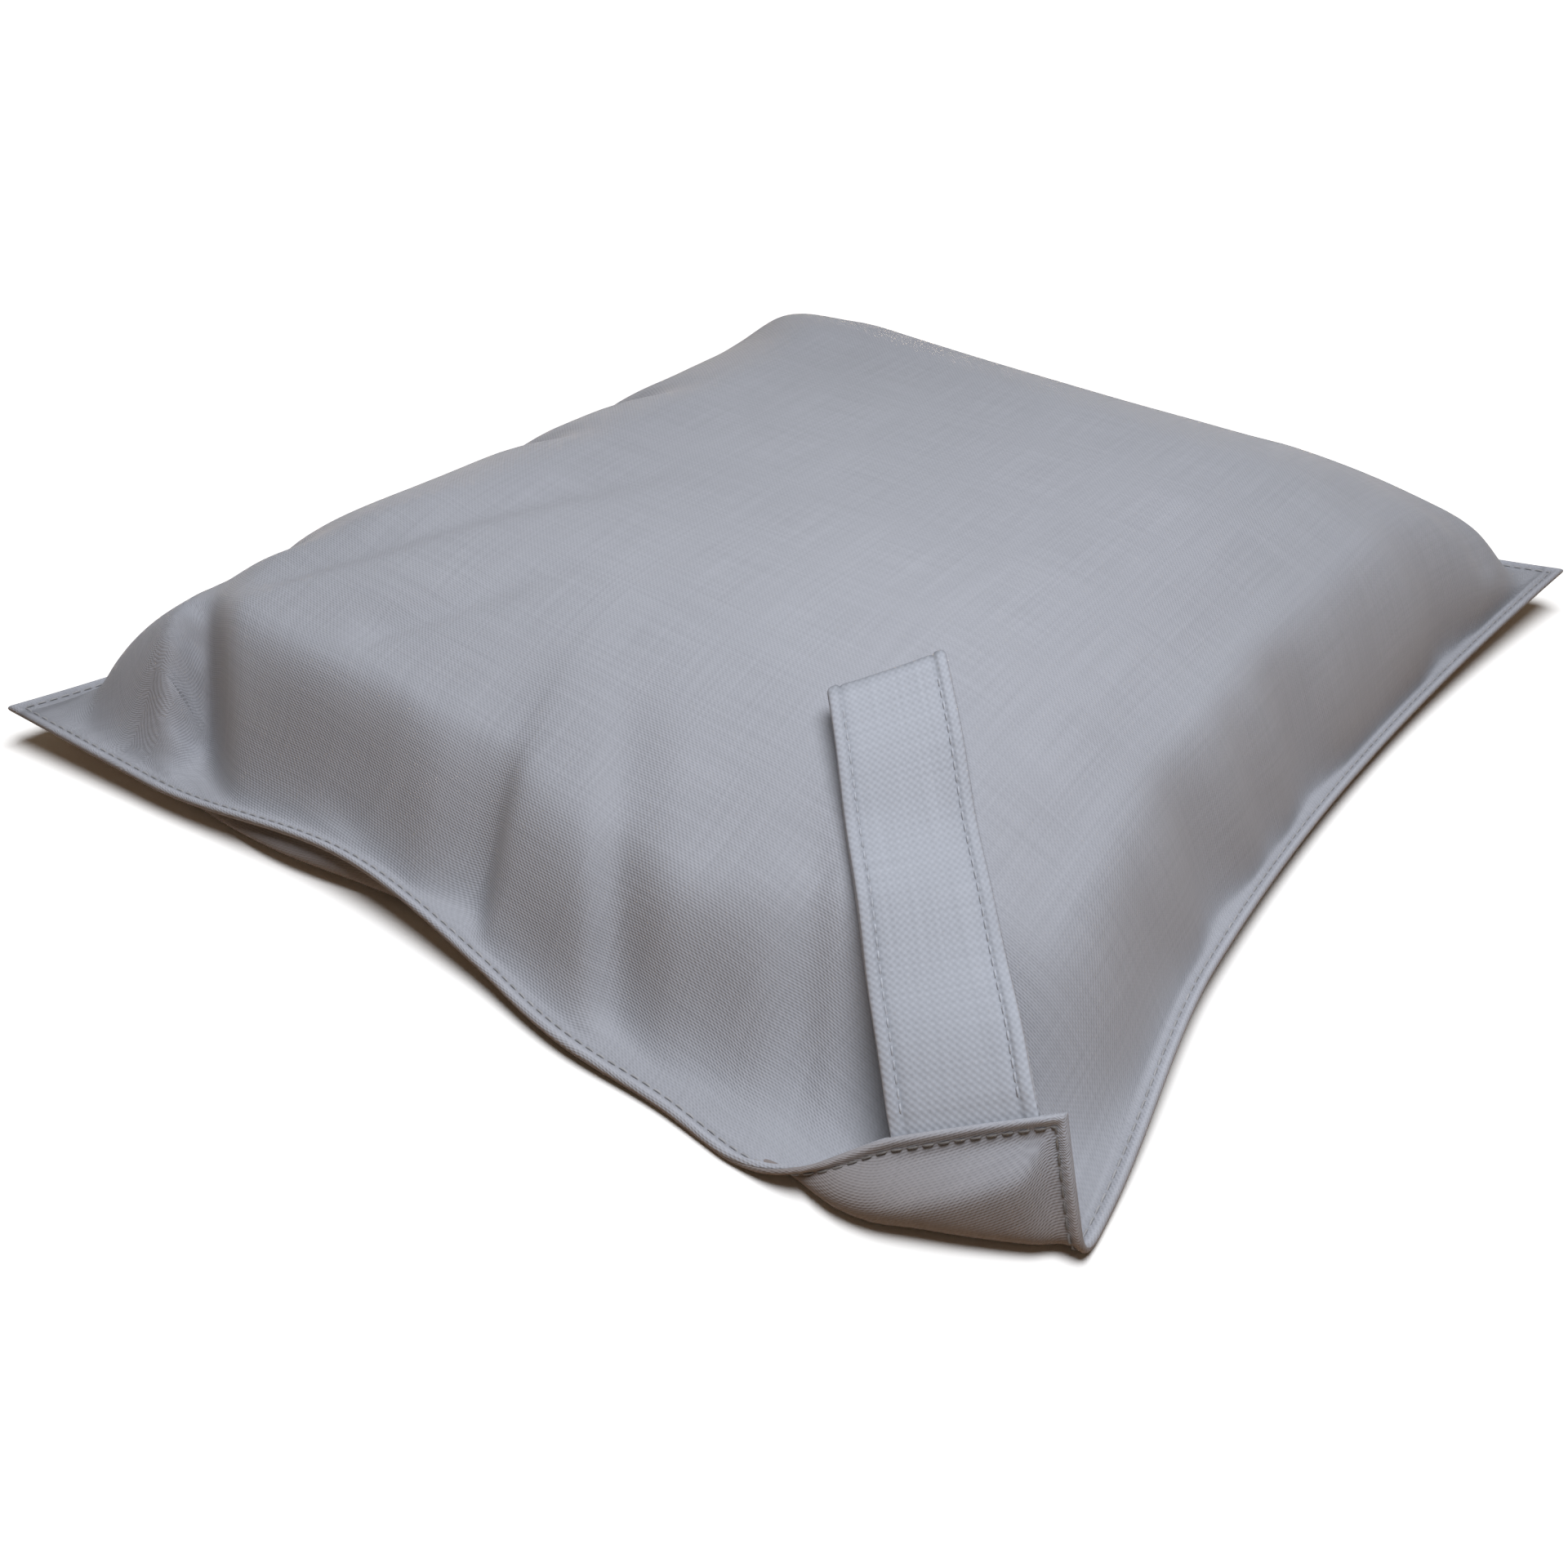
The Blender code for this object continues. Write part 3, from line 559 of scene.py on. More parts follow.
def settle(start, target, slack, held, floor, room, inward):
    """Cloth settled on its filling: each round the filling pushes the sheet to its target along the
    target's normal, bending smooths what departs from the target, and every thread between grid
    neighbours is brought back to its own length, which is the target's plus the slack. No point goes
    further towards the other panel than its room, which is inwards, 1 along the normal or -1."""
    x = start.copy()
    out = normals(target)
    loose = np.where(held, 0.0, 1.0)
    pairs = []
    for di, dj in ((1, 0), (0, 1), (1, 1), (1, -1)):
        for odd in (0, 1):
            rows = np.arange(odd, x.shape[0] - di, 1 + di) if di else np.arange(x.shape[0])
            first_j = 1 if dj < 0 else 0
            last_j = x.shape[1] - max(dj, 0)
            columns = np.arange(first_j, last_j) if di else np.arange(odd, last_j, 2)
            a = np.ix_(rows, columns)
            b = np.ix_(rows + di, columns + dj)
            length = np.linalg.norm(target[b] - target[a], axis=-1)
            length = length * (1.0 + 0.5 * (slack[a] + slack[b]))
            weight = np.maximum(loose[a] + loose[b], TINY)
            pairs.append((a, b, length, loose[a] / weight, loose[b] / weight))
    for _ in range(SETTLE_ROUNDS):
        away = np.sum((x - target) * out, axis=-1)
        x -= out * (FILLING_PUSH * loose * away)[..., None]
        bulge = np.pad(x - target, ((2, 2), (2, 2), (0, 0)))
        x -= CLOTH_BEND * loose[..., None] * curving(curving(bulge))
        for a, b, length, share_a, share_b in pairs:
            step = x[b] - x[a]
            now = np.linalg.norm(step, axis=-1)
            mend = step * ((now - length) / np.maximum(now, TINY))[..., None]
            x[a] += mend * share_a[..., None]
            x[b] -= mend * share_b[..., None]
        deep = inward * np.sum((x - target) * out, axis=-1) - room
        x -= out * (inward * loose * np.maximum(deep, 0.0))[..., None]
        x[..., 2] = np.maximum(x[..., 2], floor)
    return x


def noise_grid(shape, generator, rounds):
    """Smooth noise on a grid: random numbers averaged with their neighbours again and again."""
    field = generator.standard_normal(shape)
    for _ in range(rounds):
        padded = np.pad(field, 1, mode="edge")
        field = 0.2 * (field + padded[:-2, 1:-1] + padded[2:, 1:-1] + padded[1:-1, :-2] + padded[1:-1, 2:])
    return field / field.std()


def belly(p, q):
    """Push of the lower panel outwards: where the filling hangs out under the lifted front lip, and
    where it fills the bend of the turned-up corner."""
    front = q * SACK_DEPTH
    place, reach, out = FRONT_BELLY
    hang = np.sin(np.pi * np.clip((front - 0.5 * LIP_WIDTH) / BELLY_RUN, 0.0, 1.0)) ** 2
    push = np.zeros(p.shape + (3,))
    push[..., 1] = -out * hang * ease(1.0 - np.abs(p * SACK_WIDTH - place) / reach)
    beyond = past_turn(p, q)
    share = turn_share(p, q)
    rolled = np.clip(beyond / (TURN_BELLY_RUN * TURN_RADIUS_FRONT * TURN_ANGLE), 0.0, 1.0)
    bump = TURN_BELLY * np.sin(np.pi * rolled) + TURN_SPREAD * (1.0 - ease(np.abs(beyond) / SPREAD_RUN))
    bump = bump * ease(share / TURN_BELLY_FROM) * (1.0 - ease(share)) ** 0.5
    bump = bump * ease((np.minimum.reduce(edge_distances(p, q)) - LIP_WIDTH) / BELLY_RIM)
    bearing = turn_bearing()
    inward = np.clip((front - 0.5 * LIP_WIDTH) / NOSE_RUN, 0.0, 1.0)
    nose = ease(1.0 - np.abs(p * SACK_WIDTH - NOSE_AT) / NOSE_REACH)
    bump = bump + NOSE_PUSH * nose * np.sin(np.pi * inward) ** 2
    push[..., 0] += np.cos(bearing) * bump
    push[..., 1] += np.sin(bearing) * bump
    push[..., 2] += NOSE_LIFT * nose * np.sin(2.0 * np.pi * inward)
    return push


def panel_grids():
    """Upper and lower panel's outside as grids of points, with their shares p and q."""
    lines_p = grid_lines(SACK_WIDTH, FINE_ALONG_FRONT, True)
    lines_q = grid_lines(SACK_DEPTH, FINE_ALONG_RIGHT, False)
    p, q = np.meshgrid(lines_p, lines_q, indexing="ij")
    middle = seam_middle(p, q)
    half = lip_half(p, q)
    rim = middle + half
    above = (SACK_HEIGHT - rim) * crown(p, q)
    depth = creases(p, q)
    sunk = np.exp(-np.maximum(depth, 0.0) / np.maximum(above, LEAST_RISE))
    ridge = np.maximum(-depth, 0.0) * ease(above / RIDGE_FROM)
    upper = turned(p, q, rim + above * sunk + ridge)
    inside = [np.maximum(d - LIP_WIDTH, 0.0) for d in edge_distances(p, q)]
    under = np.prod([swell(d, UNDER_RUN, UNDER_POWER) for d in inside], axis=0)
    lower = turned(p, q, (middle - half) * (1.0 - under))
    lower = lower + belly(p, q)
    lower[..., 2] = np.maximum(lower[..., 2], 0.0)
    return p, q, *settled_panels(p, q, upper, lower)


def settled_panels(p, q, upper, lower):
    """Both panels settled from small ripples. Their slack falls off from the edges as a bell curve and
    is none at the ears and the turn; the lip and the turned corner are held, and the panels share the
    room between them."""
    edge = np.minimum.reduce(edge_distances(p, q))
    generator = np.random.default_rng(SEED)
    flap = ease(1.0 + past_turn(p, q) / TURN_RUN)
    corner = np.prod([ease((diagonal - flat) / run) for diagonal, (_, flat, run) in ears(p, q)], axis=0)
    slack = EDGE_SLACK * np.exp(-((edge / SLACK_RUN) ** 2)) * (1.0 - flap) * corner
    held = (edge < LIP_WIDTH) | (past_turn(p, q) > 0.0)
    gap = np.sum((upper - lower) * normals(upper), axis=-1)
    room = 0.5 * np.maximum(gap - PLIES, 0.0)
    settled = []
    for target, floor, inward in ((upper, -1.0, -1.0), (lower, 0.0, 1.0)):
        ripple = RIPPLE_START * noise_grid(p.shape, generator, RIPPLE_SMOOTHING)
        ripple = ripple * np.where(held, 0.0, slack / EDGE_SLACK)
        start = target + normals(target) * ripple[..., None]
        settled.append(settle(start, target, slack, held, floor, room, inward))
    return settled


def add_mesh(name, points, faces, uv=None, painted_highlight_and_shade=None):
    """Object from arrays of points and faces, at the origin, with an optional UV map and optional painted
    highlight and shade per point.
    """
    mesh = bpy.data.meshes.new(name)
    mesh.from_pydata(np.asarray(points).reshape(-1, 3), [], [tuple(face) for face in faces])
    if uv is not None:
        corners = np.empty(len(mesh.loops), np.int32)
        mesh.loops.foreach_get("vertex_index", corners)
        layer = mesh.uv_layers.new(name="cut")
        layer.data.foreach_set("uv", np.asarray(uv, np.float32).reshape(-1, 2)[corners].ravel())
    if painted_highlight_and_shade is not None:
        painted_light = mesh.attributes.new("painted_highlight_and_shade", "FLOAT", "POINT")
        painted_light.data.foreach_set("value", np.asarray(painted_highlight_and_shade, np.float32).ravel())
    mesh.shade_smooth()
    item = bpy.data.objects.new(name, mesh)
    bpy.context.scene.collection.objects.link(item)
    return item


def grid_faces(rows, columns, flip=False):
    """Four-sided faces of a grid of points, by index."""
    index = np.arange(rows * columns).reshape(rows, columns)
    quad = [index[:-1, :-1], index[1:, :-1], index[1:, 1:], index[:-1, 1:]]
    return np.stack([c.ravel() for c in (quad[::-1] if flip else quad)], -1)


def run_along(grid):
    """Length along each grid line from the grid's middle, so that the map isn't stretched on slopes."""
    length = np.cumsum(np.linalg.norm(np.diff(grid, axis=0, prepend=grid[:1]), axis=-1), axis=0)
    return length - length[len(length) // 2]


def add_panel(name, grid, p, q, flip):
    """One ply of cloth from a grid of points of its outside, thickened inwards and smoothed."""
    uv = np.stack([run_along(grid), run_along(grid.transpose(1, 0, 2)).T], -1)
    edge = np.minimum.reduce(edge_distances(p, q))
    # Painted highlight on the lip's rounded crest and painted shade in its stitch groove, stored per point
    crest = np.exp(-(((edge - LIP_PUFF_AT) / LIP_PUFF_AT) ** 2))
    groove = np.exp(-(((edge - STITCH_INSET) / (GROOVE_SHARE * STITCH_INSET)) ** 2))
    item = add_mesh(name, grid, grid_faces(*p.shape, flip), uv, crest - groove)
    ply = item.modifiers.new("ply", "SOLIDIFY")
    ply.thickness = CLOTH
    ply.offset = -1.0
    finer = item.modifiers.new("finer", "SUBSURF")
    finer.levels = 1
    finer.render_levels = 1
    return item


def stitches(path, up, pitch, closed):
    """Points and faces of a row of stitches: each is a short round thread that arches up out of the
    cloth and dives back in, spaced evenly by length along a path."""
    if closed:
        path = np.concatenate([path, path[:1]])
        up = np.concatenate([up, up[:1]])
    length = np.concatenate([[0.0], np.cumsum(np.linalg.norm(np.diff(path, axis=0), axis=1))])
    count = int(length[-1] / pitch)
    rings = np.linspace(-1.0, 1.0, STITCH_RINGS)
    place = (np.arange(count)[:, None] + 0.5) * length[-1] / count + STITCH_HALF * pitch * rings[None]
    along = [np.interp(place, length, path[:, k]) for k in range(3)]
    over = unit(np.stack([np.interp(place, length, up[:, k]) for k in range(3)], -1))
    arch = THREAD * (STITCH_STAND - STITCH_DIVE * rings**4)
    middle = np.stack(along, -1) + over * arch[None, :, None]
    ahead = unit(np.gradient(middle, axis=1))
    side = unit(np.cross(ahead, over))
    turn = 2.0 * np.pi * np.arange(STITCH_SIDES) / STITCH_SIDES
    ring = side[:, :, None] * np.cos(turn)[:, None] + over[:, :, None] * np.sin(turn)[:, None]
    taper = 0.5 * THREAD * np.sqrt(np.clip(1.0 + STITCH_TIP - rings**6, STITCH_TIP, 1.0))
    points = middle[:, :, None] + ring * taper[None, :, None, None]
    index = np.arange(count * STITCH_RINGS * STITCH_SIDES).reshape(count, STITCH_RINGS, STITCH_SIDES)
    ahead_index = index[:, 1:]
    here = index[:, :-1]
    quads = [here, np.roll(here, -1, 2), np.roll(ahead_index, -1, 2), ahead_index]
    faces = np.stack([c.ravel() for c in quads], -1).tolist()
    faces += index[:, 0].tolist() + index[:, -1, ::-1].tolist()
    return points.reshape(-1, 3), faces


def around(grid, line):
    """Closed row of grid points, once round a panel on the grid line that many lines in."""
    cut = grid[line : grid.shape[0] - line, line : grid.shape[1] - line]
    return np.concatenate([cut[:-1, 0], cut[-1, :-1], cut[:0:-1, -1], cut[0, :0:-1]])


def between_lines(p, q, grid, at_p, at_q):
    """Grid of points read between its lines: weighted mean of the four points round a place."""
    lines_p = p[:, 0]
    lines_q = q[0]
    i = np.clip(np.searchsorted(lines_p, at_p) - 1, 0, len(lines_p) - 2)
    j = np.clip(np.searchsorted(lines_q, at_q) - 1, 0, len(lines_q) - 2)
    u = ((at_p - lines_p[i]) / (lines_p[i + 1] - lines_p[i]))[..., None]
    v = ((at_q - lines_q[j]) / (lines_q[j + 1] - lines_q[j]))[..., None]
    front = (1.0 - u) * grid[i, j] + u * grid[i + 1, j]
    back = (1.0 - u) * grid[i, j + 1] + u * grid[i + 1, j + 1]
    return (1.0 - v) * front + v * back


def top_height(x, y, p, q, upper):
    """Height of the settled upper panel over a plan place, found by stepping p and q to that place."""
    at_p = np.clip(x / SACK_WIDTH + 0.5, 0.0, 1.0)
    at_q = np.clip(y / SACK_DEPTH + 0.5, 0.0, 1.0)
    for _ in range(PLACE_ROUNDS):
        there = between_lines(p, q, upper, at_p, at_q)
        at_p = np.clip(at_p + (x - there[..., 0]) / SACK_WIDTH, 0.0, 1.0)
        at_q = np.clip(at_q + (y - there[..., 1]) / SACK_DEPTH, 0.0, 1.0)
    return between_lines(p, q, upper, at_p, at_q)[..., 2]


def over_the_top(x, y):
    """Upper hull of a line of points: the path of a strip that spans the hollows under it."""
    kept = [0]
    for i in range(1, len(x)):
        while len(kept) > 1:
            a, b = kept[-2], kept[-1]
            if (y[b] - y[a]) * (x[i] - x[a]) > (y[i] - y[a]) * (x[b] - x[a]):
                break
            kept.pop()
        kept.append(i)
    return np.interp(x, x[kept], y[kept])


def loop_root():
    """Middle of the loop's root at the lip, its width direction, and the way it leaves the seam."""
    near, far = tail_sides()
    ends = 1.0 - np.array([far, near]) / SACK_WIDTH
    rim = np.zeros(2)
    height = seam_middle(ends, rim)
    edge = turned(ends, rim, height)
    inside = turned(ends, rim + TAIL_DEPTH / SACK_DEPTH, height)
    return edge.mean(0), unit(edge[1] - edge[0]), unit((edge - inside).mean(0))


def loop_path(p, q, upper):
    """Middle line of the folded strip outside the seam, its width direction and its reach."""
    middle, hinge, _ = loop_root()
    level = np.array([np.cos(LOOP_BEARING), np.sin(LOOP_BEARING), 0.0])
    inward = np.array([-level[1], level[0], 0.0])
    reach = np.linspace(0.0, LOOP_LENGTH, LOOP_STEPS)
    twist = ease(reach / LOOP_TWIST_RUN)[:, None]
    width = unit(hinge * (1.0 - twist) + level * twist)
    across = np.linspace(-0.5, 0.5, LOOP_ACROSS) * LOOP_WIDTH
    ground = middle + inward * reach[:, None, None] + width[:, None] * across[None, :, None]
    eye = ease(1.0 - (LOOP_LENGTH - reach) / LOOP_EYE_RUN)
    half_gap = 0.5 * (LOOP_PLY_GAP + (LOOP_EYE - LOOP_PLY_GAP) * eye)
    stand = half_gap + LOOP_PLY + LOOP_REST
    needed = (top_height(ground[..., 0], ground[..., 1], p, q, upper) - ground[..., 2]).max(1) + stand
    needed[0] = 0.0
    height = over_the_top(reach, needed)
    height = height + 0.5 * LOOP_RIPPLE * (1.0 - np.cos(2.0 * np.pi * reach / LOOP_RIPPLE_RUN))
    height = height + LOOP_END_LIFT * ease((reach - LOOP_LIFT_FROM) / (LOOP_LENGTH - LOOP_LIFT_FROM))
    rolled = LOOP_END_TWIST * ease((reach - LOOP_TWIST_RUN) / (LOOP_LENGTH - LOOP_TWIST_RUN))
    height = height + 0.5 * LOOP_WIDTH * np.sin(rolled)
    line = middle + inward * reach[:, None] + np.array([0.0, 0.0, 1.0]) * height[:, None]
    over = unit(np.cross(width, unit(np.gradient(line, axis=0))))
    over = over * np.sign(over[:, 2:3])
    width = width * np.cos(rolled)[:, None] + over * np.sin(rolled)[:, None]
    return line, width, half_gap, reach


def strip_profile():
    """Across places and offsets of the strip's two sides: hem bands, stitch grooves, plain middle."""
    from_edge, height = np.array(STRIP_PROFILE).T
    across = 0.5 * LOOP_WIDTH - from_edge
    across = np.concatenate([-across, [0.0], across[::-1]])
    outer = np.concatenate([height, [STRIP_MIDDLE], height[::-1]])
    inner = -np.minimum(outer, 0.5 * LOOP_PLY)
    return across, outer, inner


def strip_threads(centre, lift, stand, spread):
    """Stitch rows of the strip's two hems, each on both outer faces, from the strip's middle line."""
    sewn = slice(TAIL_STEPS + UNSEWN_AT_ROOT, TAIL_STEPS + LOOP_STEPS - UNSEWN_AT_FOLD)
    threads = []
    for name, side in (("loop_left_stitches", -1.0), ("loop_right_stitches", 1.0)):
        inset = side * (0.5 * LOOP_WIDTH - LOOP_STITCH_INSET)
        points = np.empty((0, 3))
        faces = []
        for sign in (1.0, -1.0):
            row = centre + sign * lift * (stand + LOOP_GROOVE) + spread * inset
            row_points, row_faces = stitches(row[sewn], sign * lift[sewn], LOOP_STITCH_PITCH, False)
            faces += [[len(points) + corner for corner in face] for face in row_faces]
            points = np.concatenate([points, row_points])
        threads.append(add_mesh(name, points, faces))
    return threads


def build_loop(p, q, upper):
    """Pull loop with its sewn-in tail: the strip's profile carried along the folded path, up to the
    fold on one face and back on the other, with its stitch rows."""
    line, width, half_gap, reach = loop_path(p, q, upper)
    middle, hinge, leave = loop_root()
    along = unit(np.gradient(line, axis=0))
    over = unit(np.cross(width, along))
    over = over * np.sign(over[:, 2:3])
    tail = middle + leave * np.linspace(-TAIL_DEPTH, -TAIL_STOP, TAIL_STEPS)[:, None]
    tail_over = np.repeat(unit(np.cross(hinge, leave))[None], TAIL_STEPS, 0)
    tail_over = tail_over * np.sign(np.sum(tail_over * over[:1], -1, keepdims=True))
    centre = np.concatenate([tail, line])
    lift = np.concatenate([tail_over, over])
    freed = TAIL_SQUEEZE + (1.0 - TAIL_SQUEEZE) * ease(reach / TAIL_FREE)
    thick = np.concatenate([np.full(TAIL_STEPS, TAIL_SQUEEZE), freed])[:, None]
    half_gaps = np.concatenate([np.full(TAIL_STEPS, 0.5 * LOOP_PLY_GAP), half_gap])[:, None]
    stand = thick * (half_gaps + 0.5 * LOOP_PLY)
    skew = np.concatenate([np.zeros(TAIL_STEPS), LOOP_END_SKEW * ease(reach / LOOP_LENGTH)])[:, None]
    spread = np.concatenate([np.repeat(hinge[None], TAIL_STEPS, 0), width])
    spread = spread + np.concatenate([np.zeros((TAIL_STEPS, 3)), along]) * skew / LOOP_WIDTH
    taper = LOOP_TAPER[0] + (LOOP_TAPER[1] - LOOP_TAPER[0]) * reach / LOOP_LENGTH
    spread = spread * np.concatenate([np.full(TAIL_STEPS, LOOP_TAPER[0]), taper])[:, None]
    bend = np.linspace(0.5 * np.pi, -0.5 * np.pi, FOLD_STEPS)[1:-1, None]
    bend_out = np.cos(bend) * along[-1] + np.sin(bend) * over[-1]
    fold = line[-1] + bend_out * stand[-1]
    path = np.concatenate([centre + lift * stand, fold, (centre - lift * stand)[::-1]])
    out = np.concatenate([lift, bend_out, -lift[::-1]])
    wide = np.concatenate([spread, np.repeat(spread[-1:], len(bend), 0), spread[::-1]])
    thin = np.concatenate([thick, np.ones((len(bend), 1)), thick[::-1]])

    across, outer, inner = strip_profile()
    ring_across = np.concatenate([across, across[-2:0:-1]])
    ring_out = np.concatenate([outer, inner[-2:0:-1]])
    relief = out[:, None] * (thin * ring_out[None])[..., None]
    points = path[:, None] + wide[:, None] * ring_across[None, :, None] + relief
    count = len(ring_across)
    rows = len(path)
    index = np.arange(rows * count).reshape(rows, count)
    index = np.concatenate([index, index[:, :1]], 1)
    quads = [index[:-1, :-1], index[:-1, 1:], index[1:, 1:], index[1:, :-1]]
    faces = np.stack([c.ravel() for c in quads], -1).tolist()
    faces += [index[0, :-1].tolist()[::-1], index[-1, :-1].tolist()]
    length = np.concatenate([[0.0], np.cumsum(np.linalg.norm(np.diff(path, axis=0), axis=1))])
    uv = np.stack(np.broadcast_arrays(ring_across[None], length[:, None]), -1)
    # Painted highlight on the hem edges, painted shade in each stitch row's groove and a painted shade line
    # along the fold
    from_edge = 0.5 * LOOP_WIDTH - np.abs(ring_across)
    groove_shade = HEM_SHADE * np.exp(-(((from_edge - LOOP_STITCH_INSET) / HEM_SHADE_RUN) ** 2))
    from_fold = length - length[rows // 2]
    fold_shade = FOLD_SHADE * np.exp(-((from_fold / FOLD_SHADE_RUN) ** 2))
    painted_light = (np.exp(-from_edge / HEM_CREST) - groove_shade)[None] - fold_shade[:, None]
    strip = add_mesh("pull_loop_strip", points, faces, uv, painted_light)
    return strip, strip_threads(centre, lift, stand, spread)


def build_filling(p, q, upper, lower):
    """Loose filling: the room between the settled panels, with rounded corners, as two grids joined."""
    t = np.linspace(-1.0, 1.0, FILLING_LINES)
    t = np.sign(t) * (1.0 - (1.0 - np.abs(t)) ** FILLING_CROWD)
    u, v = np.meshgrid(t, t, indexing="ij")
    at_p = 0.5 + u * np.sqrt(1.0 - FILLING_ROUND * v * v) * (0.5 - FILLING_INSET / SACK_WIDTH)
    at_q = 0.5 + v * np.sqrt(1.0 - FILLING_ROUND * u * u) * (0.5 - FILLING_INSET / SACK_DEPTH)
    shifts = np.linspace(-FILLING_WINDOW, FILLING_WINDOW, FILLING_WINDOW_STEPS)
    room = upper - normals(upper) * FILLING_BELOW
    high = between_lines(p, q, room, at_p, at_q)
    tops = [between_lines(p, q, room, at_p + a, at_q + b)[..., 2] for a in shifts for b in shifts]
    high[..., 2] = np.min(tops, axis=0)
    low = between_lines(p, q, lower + normals(lower) * FILLING_ABOVE, at_p, at_q)
    high[..., 2] = np.maximum(high[..., 2], low[..., 2] + FILLING_LEAST)
    size = len(t)
    count = size * size
    index = np.arange(count).reshape(size, size)
    rim = np.concatenate([index[:-1, 0], index[-1, :-1], index[:0:-1, -1], index[0, :0:-1]])
    sides = np.stack([rim, rim + count, np.roll(rim, -1) + count, np.roll(rim, -1)], -1)
    faces = np.concatenate([grid_faces(size, size), grid_faces(size, size, True) + count, sides])
    return add_mesh("filling_loose", np.concatenate([high.reshape(-1, 3), low.reshape(-1, 3)]), faces)


def node(tree, kind, **settings):
    """New shader node of a kind, with its settings."""
    item = tree.nodes.new("ShaderNode" + kind)
    for key, value in settings.items():
        setattr(item, key, value)
    return item


def math(tree, operation, *values):
    """Output of a math node whose inputs are numbers or other outputs."""
    item = node(tree, "Math", operation=operation)
    for socket, value in zip(item.inputs, values):
        if isinstance(value, (int, float)):
            socket.default_value = value
        else:
            tree.links.new(value, socket)
    return item.outputs[0]


def new_material(name, roughness):
    """Material with its node tree and its shader."""
    material = bpy.data.materials.new(name)
    material.use_nodes = True
    shader = material.node_tree.nodes["Principled BSDF"]
    shader.inputs["Roughness"].default_value = roughness
    return material, material.node_tree, shader


def stretched_noise(tree, vector, scale, detail):
    """Noise from -1 to 1 on a vector stretched by a scale along each axis."""
    place = node(tree, "Mapping")
    place.inputs["Scale"].default_value = scale
    noise = node(tree, "TexNoise")
    noise.inputs["Scale"].default_value = 1.0
    noise.inputs["Detail"].default_value = detail
    tree.links.new(vector, place.inputs["Vector"])
    tree.links.new(place.outputs[0], noise.inputs["Vector"])
    return math(tree, "MULTIPLY_ADD", noise.outputs["Fac"], 2.0, -1.0)


def tinted(tree, colour, shade):
    """Colour made lighter or darker by a share."""
    tint = node(tree, "VectorMath", operation="SCALE")
    tint.inputs[0].default_value = colour
    tree.links.new(shade, tint.inputs["Scale"])
    return tint.outputs[0]


def shaded_near_floor(tree, unshaded):
    """Colour darkened and browned as painted shade near the floor: full at height 0, none from the painted
    shade's height up.
    """
    place = node(tree, "SeparateXYZ")
    tree.links.new(node(tree, "TexCoord").outputs["Object"], place.inputs[0])
    above = node(tree, "MapRange", interpolation_type="SMOOTHSTEP")
    above.inputs["From Max"].default_value = PAINTED_SHADE_HEIGHT
    tree.links.new(place.outputs["Z"], above.inputs["Value"])
    veil = node(tree, "Mix", data_type="VECTOR")
    veil.inputs[4].default_value = PAINTED_SHADE_TINT
    veil.inputs[5].default_value = (1.0, 1.0, 1.0)
    tree.links.new(above.outputs[0], veil.inputs[0])
    dull = node(tree, "VectorMath", operation="MULTIPLY")
    tree.links.new(unshaded, dull.inputs[0])
    tree.links.new(veil.outputs[1], dull.inputs[1])
    return dull.outputs[0]


